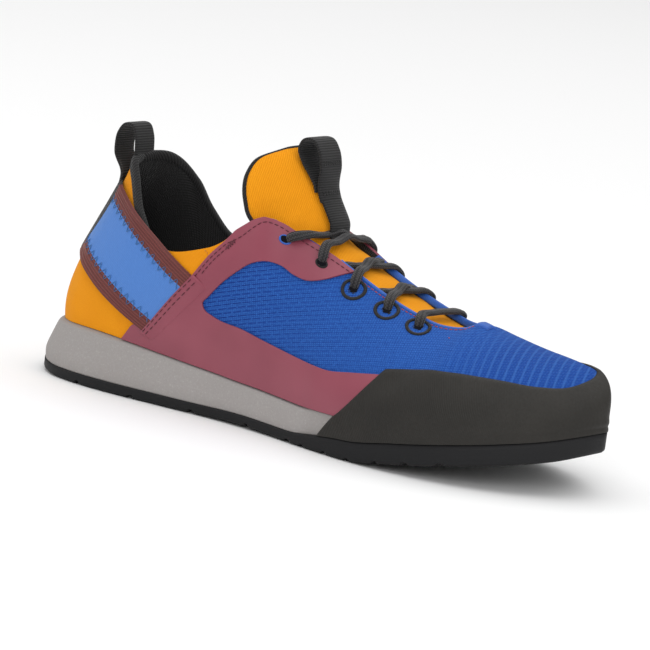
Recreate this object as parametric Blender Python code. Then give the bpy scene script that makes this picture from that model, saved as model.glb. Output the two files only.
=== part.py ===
"""Approach shoe for the right foot, unbent, standing on its sole.

X runs from heel to toe, Y towards the inner side of the foot, Z up from the floor.
The upper is a sheet of ribs: each rib rises from the sole's edge to the top edge.
"Around" tells ribs apart: 0 is the heel, 1 the toe along the outer side, 2 the heel again.
"Rise" runs up a rib, from 0 at the sole to 1 at the collar, the throat or the ridge of the toe.
"""
import math
from bisect import bisect_right
from functools import lru_cache

import bpy
import bmesh
from mathutils import Matrix, Vector
from mathutils.geometry import delaunay_2d_cdt

# Driving sizes of the shoe, in metres
LENGTH = 0.2945
BALL_WIDTH = 0.102
COLLAR_HEIGHT = 0.108
HEEL_STACK = 0.026
TOE_SPRING = 0.0205
TOE_RUBBER = 0.0095
UPPER_WALL = 0.0024
INSOLE_THICKNESS = 0.003
MIDSOLE_FLARE = 0.0065
FEATHER_LEDGE = 0.001
RAND_THICKNESS = 0.0018
OVERLAY_THICKNESS = 0.0009
STRAP_THICKNESS = 0.0014
STRAP_STANDOFF = 0.0016
TONGUE_THICKNESS = 0.0034
BINDING_HEIGHT = 0.0030
WEBBING_WIDTH = 0.0175
HEEL_WEBBING_WIDTH = 0.015
WEBBING_THICKNESS = 0.0015
LACE_WIDTH = 0.0042
LACE_THICKNESS = 0.0030
EYELET_RADIUS = 0.0056
EYELET_HOLE = 0.0024
EYELET_HEIGHT = 0.0006
GROOVE_DEPTH = 0.0017
GROOVE_WIDTH = 0.0026
CLEARANCE = 0.0003
SEAT = 0.0006

# Sole outline seen from above, outer side first: along and across, as shares of LENGTH and BALL_WIDTH
OUTLINE_OUTER = (
    (0.000, 0.000),
    (0.007, -0.098),
    (0.026, -0.196),
    (0.059, -0.274),
    (0.104, -0.320),
    (0.178, -0.348),
    (0.290, -0.348),
    (0.392, -0.350),
    (0.494, -0.392),
    (0.579, -0.451),
    (0.664, -0.495),
    (0.749, -0.502),
    (0.834, -0.461),
    (0.900, -0.377),
    (0.946, -0.284),
    (0.980, -0.167),
    (0.998, -0.039),
)
OUTLINE_INNER = (
    (1.000, 0.005),
    (0.992, 0.069),
    (0.973, 0.152),
    (0.946, 0.245),
    (0.908, 0.338),
    (0.861, 0.417),
    (0.810, 0.466),
    (0.749, 0.490),
    (0.681, 0.480),
    (0.596, 0.417),
    (0.511, 0.338),
    (0.409, 0.289),
    (0.307, 0.304),
    (0.188, 0.333),
    (0.110, 0.314),
    (0.059, 0.270),
    (0.026, 0.191),
    (0.007, 0.098),
)

# Sole in side view: along (share of LENGTH), underside (of TOE_SPRING), rubber (of TOE_RUBBER),
# stack of rubber and foam (of HEEL_STACK)
SOLE_PROFILE = (
    (0.000, 0.060, 0.50, 0.930),
    (0.080, 0.000, 0.53, 0.990),
    (0.130, 0.000, 0.53, 1.000),
    (0.198, 0.000, 0.53, 0.970),
    (0.257, 0.000, 0.53, 0.910),
    (0.361, 0.020, 0.50, 0.785),
    (0.439, 0.045, 0.50, 0.700),
    (0.520, 0.012, 0.53, 0.677),
    (0.555, 0.000, 0.56, 0.672),
    (0.652, 0.000, 0.71, 0.685),
    (0.745, 0.186, 0.92, 0.641),
    (0.823, 0.385, 1.00, 0.600),
    (0.902, 0.600, 1.00, 0.570),
    (0.961, 0.790, 1.00, 0.550),
    (1.000, 1.000, 0.92, 0.520),
)

# Inset of the foam's upper edge from the outline: along (share of LENGTH), inset (of MIDSOLE_FLARE)
FLARE_PROFILE = (
    (0.000, 1.00),
    (0.095, 0.80),
    (0.203, 0.52),
    (0.380, 0.40),
    (0.567, 0.30),
)
RAND_START = (0.552, 0.585)

# Top ends of the ribs. Columns: around (0 heel, 1 toe), along (of LENGTH), half gap and middle (of
# BALL_WIDTH), height (of COLLAR_HEIGHT), then the rib's handles as shares of COLLAR_HEIGHT: out, forward
# and down at the top end, out and up at the sole
TOP_LINE = (
    (0.000, 0.112, 0.000, 0.000, 0.972, 0.125, 0.000, 0.250, 0.020, 0.225),
    (0.060, 0.120, 0.078, 0.000, 0.958, 0.050, 0.000, 0.260, 0.038, 0.240),
    (0.137, 0.142, 0.146, 0.000, 0.900, 0.045, 0.000, 0.240, 0.040, 0.230),
    (0.208, 0.183, 0.235, 0.000, 0.755, 0.035, 0.000, 0.190, 0.042, 0.200),
    (0.282, 0.246, 0.284, 0.000, 0.653, 0.030, 0.000, 0.160, 0.042, 0.170),
    (0.352, 0.321, 0.294, 0.000, 0.696, 0.035, 0.000, 0.180, 0.040, 0.180),
    (0.412, 0.380, 0.275, 0.000, 0.775, 0.060, 0.000, 0.180, 0.037, 0.200),
    (0.452, 0.422, 0.235, 0.000, 0.868, 0.085, 0.000, 0.150, 0.032, 0.220),
    (0.492, 0.469, 0.186, 0.000, 0.830, 0.110, 0.000, 0.110, 0.028, 0.220),
    (0.532, 0.518, 0.167, 0.000, 0.780, 0.130, 0.000, 0.110, 0.026, 0.205),
    (0.577, 0.568, 0.152, 0.000, 0.715, 0.150, 0.000, 0.110, 0.022, 0.195),
    (0.622, 0.624, 0.147, 0.000, 0.650, 0.160, 0.000, 0.092, 0.018, 0.185),
    (0.667, 0.674, 0.142, 0.000, 0.604, 0.175, 0.000, 0.074, 0.014, 0.180),
    (0.712, 0.722, 0.122, 0.005, 0.570, 0.195, 0.010, 0.055, 0.010, 0.175),
    (0.747, 0.753, 0.074, 0.015, 0.572, 0.220, 0.020, 0.028, 0.006, 0.175),
    (0.772, 0.764, 0.000, 0.020, 0.588, 0.255, 0.030, 0.000, 0.000, 0.175),
    (0.802, 0.790, 0.000, 0.039, 0.567, 0.255, 0.040, 0.000, 0.000, 0.170),
    (0.832, 0.820, 0.000, 0.054, 0.548, 0.240, 0.050, 0.000, 0.000, 0.160),
    (0.872, 0.854, 0.000, 0.069, 0.532, 0.205, 0.065, 0.000, 0.000, 0.150),
    (0.905, 0.882, 0.000, 0.078, 0.524, 0.170, 0.080, 0.000, 0.000, 0.135),
    (0.938, 0.905, 0.000, 0.083, 0.518, 0.125, 0.100, 0.000, 0.000, 0.120),
    (0.970, 0.922, 0.000, 0.088, 0.512, 0.065, 0.120, 0.000, 0.000, 0.110),
    (1.000, 0.932, 0.000, 0.093, 0.509, 0.000, 0.130, 0.000, 0.000, 0.105),
)
# How the inner side's collar differs: around, then shifts along (of LENGTH) and up (of COLLAR_HEIGHT)
INNER_COLLAR = (
    (0.000, 0.000, 0.000),
    (0.060, 0.000, 0.018),
    (0.137, 0.008, 0.072),
    (0.208, -0.004, 0.125),
    (0.250, -0.010, 0.085),
    (0.300, -0.008, 0.015),
    (0.352, 0.000, 0.000),
    (1.000, 0.000, 0.000),
)
THROAT_TIP = 0.7725
COLLAR_FRONT = 0.430

# Quarter overlay in side view: along (of LENGTH) and height (of COLLAR_HEIGHT), from the strap's
# upper corner over the collar and throat, back round the mesh window, and along the sole
OVERLAY_TOP = (
    (0.326, 0.590),
    (0.364, 0.735),
    (0.390, 0.800),
    (0.420, 0.862),
    (0.444, 0.850),
    (0.469, 0.822),
    (0.508, 0.780),
    (0.550, 0.731),
)
OVERLAY_WINDOW = (
    (0.552, 0.705),
    (0.528, 0.690),
    (0.498, 0.672),
    (0.476, 0.660),
    (0.449, 0.682),
    (0.420, 0.712),
    (0.400, 0.712),
    (0.331, 0.480),
    (0.334, 0.450),
    (0.390, 0.395),
    (0.459, 0.362),
    (0.528, 0.342),
    (0.587, 0.335),
    (0.626, 0.350),
    (0.671, 0.375),
)
OVERLAY_FOOT = (
    (0.666, 0.340),
    (0.636, 0.265),
    (0.610, 0.195),
    (0.572, 0.172),
    (0.508, 0.176),
    (0.430, 0.188),
    (0.361, 0.207),
    (0.294, 0.228),
    (0.294, 0.380),
)

# Upper edge of the toe rand: around (0 heel, 1 toe) and height as a share of COLLAR_HEIGHT
RAND_TOP = (
    (0.652, 0.385),
    (0.712, 0.420),
    (0.772, 0.435),
    (0.832, 0.435),
    (0.889, 0.430),
    (0.930, 0.438),
    (0.962, 0.462),
    (1.000, 0.496),
)
RAND_TOP_INNER = (
    (0.652, 0.385),
    (0.712, 0.430),
    (0.800, 0.455),
    (0.860, 0.475),
    (0.905, 0.492),
    (0.950, 0.500),
    (1.000, 0.496),
)
RAND_BACK_FOOT = 0.577
RAND_BACK_TOP = 0.672
RAND_BACK_INNER = 0.690

# Heel strap: share of the way from heel to front end, upper edge and lower edge as shares of
# COLLAR_HEIGHT; the two edges end at different places around the shoe
STRAP_EDGES = (
    (0.00, 0.865, 0.560),
    (0.25, 0.860, 0.540),
    (0.50, 0.805, 0.470),
    (0.75, 0.705, 0.385),
    (1.00, 0.570, 0.295),
)
STRAP_UPPER_END = 0.344
STRAP_LOWER_END = 0.260
PATCH_SHARE = 0.167

# Free end of the tongue: along (of LENGTH) and height (of COLLAR_HEIGHT) of its middle, its shoulders
# and its edges, each with a half width (of BALL_WIDTH) for shoulder and edge
TONGUE_FREE = (
    (0.473, 0.965, 0.128, 0.452, 0.945, 0.226, 0.378, 0.868),
    (0.453, 1.045, 0.127, 0.434, 1.030, 0.235, 0.367, 0.965),
    (0.431, 1.115, 0.120, 0.414, 1.105, 0.210, 0.368, 1.055),
    (0.412, 1.165, 0.095, 0.399, 1.155, 0.165, 0.378, 1.120),
)
# Crown of the tongue inside the throat: around, and how far its middle stands over the throat's edges
TONGUE_CROWN = (
    (0.482, 0.082),
    (0.512, 0.076),
    (0.552, 0.064),
    (0.592, 0.048),
    (0.632, 0.036),
    (0.672, 0.026),
    (0.712, 0.016),
    (0.747, 0.008),
)
TONGUE_ROOT = 0.817

# Heel loop and tongue loop in side view: along (of LENGTH) and height (of COLLAR_HEIGHT)
HEEL_LOOP = (
    (0.0920, 0.885),
    (0.0800, 0.965),
    (0.0770, 1.040),
    (0.0830, 1.100),
    (0.0970, 1.135),
    (0.1120, 1.135),
    (0.1250, 1.100),
    (0.1320, 1.040),
    (0.1345, 0.960),
    (0.1310, 0.880),
)
TONGUE_LOOP = (
    (0.4830, 0.945),
    (0.4802, 0.965),
    (0.4773, 1.020),
    (0.4735, 1.090),
    (0.4650, 1.165),
    (0.4483, 1.215),
    (0.4305, 1.205),
    (0.4256, 1.170),
    (0.4379, 1.125),
    (0.4553, 1.070),
    (0.4642, 1.035),
)

# Lace holes: around, and rise up the rib
LACE_HOLES = (
    (0.480, 0.885),
    (0.535, 0.880),
    (0.588, 0.880),
    (0.638, 0.890),
    (0.688, 0.890),
)
FIRST_RINGED_HOLE = 2

# Grooves across the sole, along as shares of LENGTH, and slanted grooves of the forefoot
CROSS_GROOVES = (0.130, 0.237, 0.351, 0.459, 0.548)
FOREFOOT_GROOVES = (0.600, 0.650, 0.700, 0.750, 0.800, 0.850)

# Counts that set how finely the forms are cut
RIBS = 37
RISE_STEPS = 9
SOLE_RIBS = 30

# Colour, roughness and metal of each material
MATERIALS = {
    "knit_blue": ((0.020, 0.090, 0.450), 0.85, 0.0),
    "neoprene_yellow": ((0.850, 0.350, 0.020), 0.90, 0.0),
    "film_maroon": ((0.270, 0.065, 0.095), 0.45, 0.0),
    "strap_blue": ((0.070, 0.190, 0.520), 0.60, 0.0),
    "webbing_black": ((0.016, 0.016, 0.018), 0.85, 0.0),
    "lace_grey": ((0.030, 0.030, 0.033), 0.80, 0.0),
    "rand_rubber": ((0.042, 0.038, 0.033), 0.60, 0.0),
    "sole_rubber": ((0.018, 0.018, 0.019), 0.70, 0.0),
    "foam_grey": ((0.370, 0.345, 0.330), 0.85, 0.0),
    "insole_black": ((0.020, 0.020, 0.020), 0.95, 0.0),
}


def track(rows, level=False):
    """Smooth curve through rows, whose first column is the station; level keeps flat stretches flat."""
    stations = [row[0] for row in rows]
    columns = list(zip(*[row[1:] for row in rows]))
    steps = [b - a for a, b in zip(stations, stations[1:])]
    curves = []
    for column in columns:
        rates = [(b - a) / step for a, b, step in zip(column, column[1:], steps)]
        slopes = [rates[0]]
        for index in range(1, len(rates)):
            before, after = rates[index - 1], rates[index]
            near, far = steps[index - 1], steps[index]
            slope = (before * far + after * near) / (near + far)
            if level:
                slope = 0.0 if before * after <= 0 else 2 * before * after / (before + after)
            slopes.append(slope)
        slopes.append(rates[-1])
        curves.append((column, slopes))

    def at(station):
        index = min(max(bisect_right(stations, station) - 1, 0), len(steps) - 1)
        step = steps[index]
        t = (station - stations[index]) / step
        if t < 0 or t > 1:
            edge = 0 if t < 0 else index + 1
            reach = station - stations[edge]
            return tuple(column[edge] + slopes[edge] * reach for column, slopes in curves)
        start = 2 * t ** 3 - 3 * t ** 2 + 1
        end = 1 - start
        leave = (t ** 3 - 2 * t ** 2 + t) * step
        arrive = (t ** 3 - t ** 2) * step
        return tuple(
            column[index] * start + column[index + 1] * end + slopes[index] * leave + slopes[index + 1] * arrive
            for column, slopes in curves)
    return at


def outline_track():
    """The outline as a curve of "around", by its length along each side."""
    outer = [Vector((x * LENGTH, y * BALL_WIDTH)) for x, y in OUTLINE_OUTER]
    inner = [Vector((x * LENGTH, y * BALL_WIDTH)) for x, y in OUTLINE_INNER]
    loop = outer + inner
    toe = len(outer)
    lengths = [0.0]
    for a, b in zip(loop, loop[1:] + loop[:1]):
        lengths.append(lengths[-1] + (b - a).length)
    outer_length = lengths[toe]
    inner_length = lengths[-1] - outer_length
    stations = [
        length / outer_length if index <= toe else 1 + (length - outer_length) / inner_length
        for index, length in enumerate(lengths)]
    rows = [(station, point.x, point.y) for station, point in zip(stations, loop + loop[:1])]
    before = [(station - 2, x, y) for station, x, y in rows[-4:-1]]
    after = [(station + 2, x, y) for station, x, y in rows[1:4]]
    return track(before + rows + after)


outline_at = outline_track()
sole_at = track(SOLE_PROFILE, level=True)
flare_at = track(FLARE_PROFILE, level=True)
top_at = track(TOP_LINE)
inner_collar_at = track(INNER_COLLAR, level=True)
rand_top_at = track(RAND_TOP)
rand_top_inner_at = track(RAND_TOP_INNER)
strap_at = track(STRAP_EDGES)
crown_at = track(TONGUE_CROWN, level=True)


def mix(a, b, share):
    return a + (b - a) * share


def ease(low, high, value):
    """0 below low, 1 above high, and a soft step between."""
    t = min(max((value - low) / (high - low), 0.0), 1.0)
    return t * t * (3 - 2 * t)


def station_of(around):
    """Share of the way from heel to toe, on either side."""
    turn = around % 2.0
    return turn if turn <= 1 else 2 - turn


def side_of(around):
    """-1 on the outer side of the foot and 1 on the inner side."""
    return -1 if around % 2.0 <= 1 else 1


def outline_point(around):
    return Vector(outline_at(around % 2.0))


def outline_normal(around):
    """Level direction out of the shoe."""
    reach = 0.004
    along = Vector(outline_at(around % 2.0 + reach)) - Vector(outline_at(around % 2.0 - reach))
    return Vector((along.y, -along.x)).normalized()


def floor_line(x):
    return sole_at(x / LENGTH)[0] * TOE_SPRING


def rubber_top(x):
    return floor_line(x) + sole_at(x / LENGTH)[1] * TOE_RUBBER


def foam_top(x):
    return floor_line(x) + sole_at(x / LENGTH)[2] * HEEL_STACK


def under_rand(x):
    """0 where the foam shows and 1 where the rand covers it."""
    return ease(RAND_START[0], RAND_START[1], x / LENGTH)


def foam_inset(x):
    """How far the foam's upper edge stands in from the outline."""
    open_inset = flare_at(min(x / LENGTH, RAND_START[0]))[0] * MIDSOLE_FLARE
    return mix(open_inset, RAND_THICKNESS + SEAT, under_rand(x))


def feather_point(around, extra=0.0):
    """Where a rib leaves the sole."""
    edge = outline_point(around)
    inset = foam_inset(edge.x) + FEATHER_LEDGE * (1 - under_rand(edge.x)) + extra
    spot = edge - outline_normal(around) * inset
    return Vector((spot.x, spot.y, foam_top(edge.x) + CLEARANCE))


def rib_ends(around):
    """The four handles of a rib."""
    station = station_of(around)
    side = side_of(around)
    along, gap, middle, height, out, forward, down, swell, lift = top_at(station)
    if side > 0:
        shift, rise = inner_collar_at(station)
        along += shift
        height += rise
    top = Vector((along * LENGTH, (middle + side * gap) * BALL_WIDTH, height * COLLAR_HEIGHT))
    foot = feather_point(around)
    level = outline_normal(around).to_3d()
    on_ridge = ease(0.60, THROAT_TIP, station)
    sideways = level.lerp(Vector((0, side, 0)), on_ridge).normalized()
    reach = 0.01
    ahead = top_at(min(station + reach, 1.0))
    behind = top_at(min(station, 1.0 - reach))
    ridge = Vector(((ahead[0] - behind[0]) * LENGTH, (ahead[2] - behind[2]) * BALL_WIDTH,
                    (ahead[3] - behind[3]) * COLLAR_HEIGHT)).normalized()
    upper = top + (sideways * out + ridge * forward - Vector((0, 0, down))) * COLLAR_HEIGHT
    lower = foot + (level * swell + Vector((0, 0, lift))) * COLLAR_HEIGHT
    return foot, lower, upper, top


def rib(around, rise):
    """Point of the upper's outer face."""
    foot, lower, upper, top = rib_ends(around)
    rest = 1 - rise
    return (foot * rest ** 3 + lower * (3 * rest ** 2 * rise) + upper * (3 * rest * rise ** 2)
            + top * rise ** 3)


def rib_normal(around, rise):
    step = 0.004
    across = rib(around + step, rise) - rib(around - step, rise)
    if across.length < 1e-5:
        across = rib(around + step, rise - 0.1) - rib(around - step, rise - 0.1)
    upward = rib(around, rise + step) - rib(around, rise - step)
    return across.cross(upward).normalized()


def skin(around, rise, out=0.0):
    """Point at a height over the upper's outer face, or under it."""
    return rib(around, rise) + rib_normal(around, rise) * out


def rise_at_height(around, height):
    """How far up a rib a height lies; it may lie past the rib's top."""
    low, high = -0.1, 1.25
    for _ in range(26):
        middle = (low + high) / 2
        if rib(around, middle).z < height:
            low = middle
        else:
            high = middle
    return (low + high) / 2


def place_in_side_view(x, z, side):
    """The rib and rise that show at a spot seen from the side; side is -1 or 1."""
    low, high = 0.02, 0.98
    rise = 0.5
    for _ in range(26):
        station = (low + high) / 2
        around = station if side < 0 else 2 - station
        rise = rise_at_height(around, z)
        if rib(around, rise).x < x:
            low = station
        else:
            high = station
    station = (low + high) / 2
    return (station if side < 0 else 2 - station), rise


def new_piece(name, points, faces, material):
    """An object at the origin from points and faces, shaded smooth."""
    mesh = bpy.data.meshes.new(name)
    mesh.from_pydata([tuple(point) for point in points], [], faces)
    mesh.update()
    mesh.shade_smooth()
    mesh.set_sharp_from_angle(angle=math.radians(38))
    piece = bpy.data.objects.new(name, mesh)
    bpy.context.scene.collection.objects.link(piece)
    mesh.materials.append(material)
    return piece


def finish_material(name):
    colour, roughness, metal = MATERIALS[name]
    material = bpy.data.materials.get(name) or bpy.data.materials.new(name)
    material.use_nodes = True
    shader = material.node_tree.nodes["Principled BSDF"]
    shader.inputs["Base Color"].default_value = (*colour, 1.0)
    shader.inputs["Roughness"].default_value = roughness
    shader.inputs["Metallic"].default_value = metal
    return material


def sheet_normals(points, faces):
    """Mean normal at each point of an open sheet."""
    normals = [Vector((0, 0, 0)) for _ in points]
    for face in faces:
        corners = [points[index] for index in face]
        area = Vector((0, 0, 0))
        for a, b in zip(corners[1:], corners[2:]):
            area += (a - corners[0]).cross(b - corners[0])
        for index in face:
            normals[index] += area
    return [normal.normalized() for normal in normals]


def rim_edges(faces):
    """Edges that only one face uses, in that face's direction."""
    used = {}
    for face in faces:
        for a, b in zip(face, face[1:] + face[:1]):
            used[(a, b)] = True
    return [edge for edge in used if (edge[1], edge[0]) not in used]


def shell(name, points, faces, thickness, material, inward=False):
    """Closed solid between a sheet and its copy moved along the normals."""
    normals = sheet_normals(points, faces)
    depths = thickness if isinstance(thickness, list) else [thickness] * len(points)
    sign = -1 if inward else 1
    moved = [point + normal * (depth * sign) for point, normal, depth in zip(points, normals, depths)]
    count = len(points)
    faces = [tuple(face) for face in faces]
    shifted = [tuple(index + count for index in face) for face in faces]
    turned = [tuple(reversed(face)) for face in (shifted if inward else faces)]
    kept = faces if inward else shifted
    rim = []
    for a, b in rim_edges(faces):
        band = (a, b, b + count, a + count)
        rim.append(tuple(reversed(band)) if inward else band)
    return new_piece(name, points + moved, kept + turned + rim, finish_material(material))


def grid_sheet(columns, rows, spot):
    """Points and faces of a sheet; spot(column, row) gives a point."""
    points = [spot(column, row) for column in range(columns) for row in range(rows)]
    faces = []
    for column in range(columns - 1):
        for row in range(rows - 1):
            corner = column * rows + row
            faces.append((corner, corner + rows, corner + rows + 1, corner + 1))
    return points, faces


def merge_sheet(points, faces, distance=2e-5):
    """The same sheet with its points at one place joined into one."""
    mesh = bmesh.new()
    made = [mesh.verts.new(point) for point in points]
    for face in faces:
        mesh.faces.new([made[index] for index in face])
    bmesh.ops.remove_doubles(mesh, verts=mesh.verts, dist=distance)
    mesh.verts.index_update()
    points = [vert.co.copy() for vert in mesh.verts]
    faces = [tuple(vert.index for vert in face.verts) for face in mesh.faces]
    mesh.free()
    return points, faces


def upper_stations():
    """Stations from heel to toe, closer together where the outline turns."""
    even = [index / (RIBS - 1) for index in range(RIBS)]
    return [share - 0.065 * math.sin(2 * math.pi * share) for share in even]


def arounds():
    stations = upper_stations()
    return stations + [2 - station for station in reversed(stations[:-1])]


def make_upper():
    """One hollow shell: heel, quarters and vamp, open at collar, throat and underneath."""
    turns = arounds()
    points, faces = grid_sheet(len(turns), RISE_STEPS + 1,
                               lambda column, row: rib(turns[column], row / RISE_STEPS))
    points, faces = merge_sheet(points, faces)
    return shell("upper", points, faces, UPPER_WALL, "knit_blue", inward=True)


def inside(spot, ring):
    """Whether a flat spot lies inside a ring of flat points."""
    hit = False
    for a, b in zip(ring, ring[1:] + ring[:1]):
        if (a[1] > spot[1]) != (b[1] > spot[1]):
            if spot[0] < a[0] + (b[0] - a[0]) * (spot[1] - a[1]) / (b[1] - a[1]):
                hit = not hit
    return hit


def clearance_to_ring(spot, ring):
    """Distance from a flat spot to a ring of flat points."""
    best = 1e9
    here = Vector(spot)
    for a, b in zip(ring, ring[1:] + ring[:1]):
        start, end = Vector(a), Vector(b)
        span = end - start
        share = min(max((here - start).dot(span) / span.length_squared, 0.0), 1.0)
        best = min(best, (here - start - span * share).length)
    return best


def panel(name, ring, thickness, material, gap=SEAT, weight=0.35):
    """Solid laid on the upper inside a ring of (around, rise); weight levels rise with around."""
    turns = arounds()
    flat_ring = [(around, rise * weight) for around, rise in ring]
    spots = list(flat_ring)
    for around in turns:
        for row in range(1, RISE_STEPS):
            spot = (around, row / RISE_STEPS * weight)
            if inside(spot, flat_ring) and clearance_to_ring(spot, flat_ring) > 0.010:
                spots.append(spot)
    edges = [(index, (index + 1) % len(ring)) for index in range(len(ring))]
    flat, _, triangles, _, _, _ = delaunay_2d_cdt([Vector(spot) for spot in spots], edges, [], 0, 1e-7)
    kept = []
    for triangle in triangles:
        centre = sum((flat[index] for index in triangle), Vector((0, 0))) / 3
        if inside(centre, flat_ring):
            kept.append(tuple(triangle))
    used = sorted({index for triangle in kept for index in triangle})
    order = {old: new for new, old in enumerate(used)}
    points = [skin(flat[index].x, flat[index].y / weight, gap) for index in used]
    faces = [tuple(order[index] for index in triangle) for triangle in kept]
    return shell(name, points, faces, thickness, material)


def spread_along(points, count):
    """Points at even steps along a run of flat points."""
    vectors = [Vector(point) for point in points]
    lengths = [0.0]
    for a, b in zip(vectors, vectors[1:]):
        lengths.append(lengths[-1] + (b - a).length)
    result = []
    for index in range(count):
        aim = lengths[-1] * index / (count - 1)
        slot = min(max(bisect_right(lengths, aim) - 1, 0), len(vectors) - 2)
        share = (aim - lengths[slot]) / max(lengths[slot + 1] - lengths[slot], 1e-9)
        result.append(vectors[slot].lerp(vectors[slot + 1], share))
    return result


def overlay_ring(side):
    """Outline of the quarter overlay as places on the upper."""
    runs = ((OVERLAY_TOP, 11), (OVERLAY_WINDOW, 20), (OVERLAY_FOOT, 16))
    ring = []
    for run, count in runs:
        for spot in spread_along(run, count):
            around, rise = place_in_side_view(spot.x * LENGTH, spot.y * COLLAR_HEIGHT, side)
            ring.append((around, min(max(rise, 0.008), 0.992)))
    return ring


def make_overlays():
    for side, word in ((-1, "outer"), (1, "inner")):
        ring = overlay_ring(side)
        panel("quarter_overlay_" + word, ring, OVERLAY_THICKNESS, "film_maroon")


def rand_spot(around, level):
    """Inner face of the rand: level 0 at the rubber sole, 1 at its upper edge."""
    foot = outline_point(around)
    low = rubber_top(foot.x) + SEAT
    seam = feather_point(around)
    edge_at = rand_top_at if side_of(around) < 0 else rand_top_inner_at
    top = rise_at_height(around, edge_at(station_of(around))[0] * COLLAR_HEIGHT)
    wall_share = 0.26
    if level < wall_share:
        spot = foot - outline_normal(around) * RAND_THICKNESS
        return Vector((spot.x, spot.y, mix(low, seam.z, level / wall_share)))
    return skin(around, top * (level - wall_share) / (1 - wall_share), SEAT)


def make_rand():
    """Rubber band around the toe, from the sole's rubber up over the vamp's edge."""
    columns, rows = 42, 7

    def spot(column, row):
        level = row / (rows - 1)
        even = column / (columns - 1)
        share = even + 0.07 * math.sin(2 * math.pi * even)
        start = mix(RAND_BACK_FOOT, RAND_BACK_TOP, level)
        end = 2 - mix(RAND_BACK_FOOT, RAND_BACK_INNER, level)
        return rand_spot(mix(start, end, share), level)

    points, faces = grid_sheet(columns, rows, spot)
    depths = [RAND_THICKNESS * (0.45 if index % rows == rows - 1 else 1.0) for index in range(len(points))]
    return shell("toe_rand", points, faces, depths, "rand_rubber")


def strap_spot(turn, level, out):
    """Spot on the strap: turn runs from -1 at one front end to 1 at the other, level from its lower edge."""
    share = abs(turn)
    upper, lower = strap_at(share)
    station = mix(STRAP_LOWER_END, STRAP_UPPER_END, level) * share
    height = mix(lower, upper, level) * COLLAR_HEIGHT
    around = station if turn < 0 else (2 - station) % 2.0
    stand = STRAP_STANDOFF * math.sin(math.pi * share)
    rise = rise_at_height(around, height)
    spot = rib(around, rise)
    return spot + rib_normal(around, min(rise, 0.97)) * (out + stand)


def make_strap():
    """Elastic strap round the heel, in two halves that end at the heel patch."""
    columns, rows = 10, 5
    for sign, word in ((-1, "outer"), (1, "inner")):
        def spot(column, row):
            share = mix(PATCH_SHARE, 1.0, column / (columns - 1))
            return strap_spot(sign * share, row / (rows - 1), CLEARANCE)
        points, faces = grid_sheet(columns, rows, spot)
        if sign > 0:
            faces = [tuple(reversed(face)) for face in faces]
        shell("heel_strap_" + word, points, faces, STRAP_THICKNESS, "strap_blue")


def make_heel_patch():
    """Black patch at the back of the heel, between the strap's halves."""
    columns, rows = 7, 5
    reach = PATCH_SHARE * 0.93

    def spot(column, row):
        turn = mix(reach, -reach, column / (columns - 1))
        return strap_spot(turn, row / (rows - 1), CLEARANCE)

    points, faces = grid_sheet(columns, rows, spot)
    return shell("heel_patch", points, faces, STRAP_THICKNESS, "webbing_black")


def cap_faces(count, across, rungs, faces, upward):
    """Add the faces between rungs, each of which runs from the outer side to the inner."""
    for index in range(count):
        for column in range(across):
            a = rungs[index][column]
            b = rungs[index][column + 1]
            c = rungs[index + 1][column + 1]
            d = rungs[index + 1][column]
            corners = []
            for corner in (a, d, c, b):
                if corner not in corners:
                    corners.append(corner)
            if len(corners) > 2:
                faces.append(tuple(corners) if upward else tuple(reversed(corners)))


def sole_stations():
    even = [index / SOLE_RIBS for index in range(SOLE_RIBS + 1)]
    return [share - 0.07 * math.sin(2 * math.pi * share) for share in even]


def layered_sole(name, layers, material, across=4):
    """Solid stacked from closed rings; a layer is an inset and a height, each a function of x."""
    stations = sole_stations()
    last = len(stations) - 1
    turns = stations + [2 - station for station in reversed(stations[1:-1])]
    points = []
    rings = []
    for inset, height in layers:
        ring = []
        for turn in turns:
            edge = outline_point(turn)
            spot = edge - outline_normal(turn) * inset(edge.x)
            ring.append(len(points))
            points.append(Vector((spot.x, spot.y, height(spot.x))))
        rings.append(ring)
    faces = []
    for low, high in zip(rings, rings[1:]):
        for index in range(len(turns)):
            after = (index + 1) % len(turns)
            faces.append((low[index], low[after], high[after], high[index]))
    for ring, upward, height in ((rings[0], False, layers[0][1]), (rings[-1], True, layers[-1][1])):
        ladder = []
        for index in range(last + 1):
            outer = ring[index]
            inner = ring[index] if index in (0, last) else ring[len(turns) - index]
            rung = [outer]
            for column in range(1, across):
                if outer == inner:
                    rung.append(outer)
                    continue
                spot = points[outer].lerp(points[inner], column / across)
                rung.append(len(points))
                points.append(Vector((spot.x, spot.y, height(spot.x))))
            rung.append(inner)
            ladder.append(rung)
        cap_faces(last, across, ladder, faces, upward)
    return new_piece(name, points, faces, finish_material(material))


def groove(path, width, depth):
    """Closed cutter that follows the underside along a path of (x, y)."""
    points = []
    for index, (x, y) in enumerate(path):
        before = Vector(path[max(index - 1, 0)])
        after = Vector(path[min(index + 1, len(path) - 1)])
        across = (after - before).orthogonal().normalized() * (width / 2)
        for sign, height in ((1, -0.004), (-1, -0.004), (-1, depth), (1, depth)):
            spot = Vector((x, y)) + across * sign
            points.append(Vector((spot.x, spot.y, floor_line(spot.x) + height)))
    faces = [(0, 1, 2, 3)]
    for index in range(len(path) - 1):
        start = index * 4
        for corner in range(4):
            after = (corner + 1) % 4
            faces.append((start + corner, start + corner + 4, start + after + 4, start + after))
    end = (len(path) - 1) * 4
    faces.append((end + 3, end + 2, end + 1, end))
    return points, faces


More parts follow.
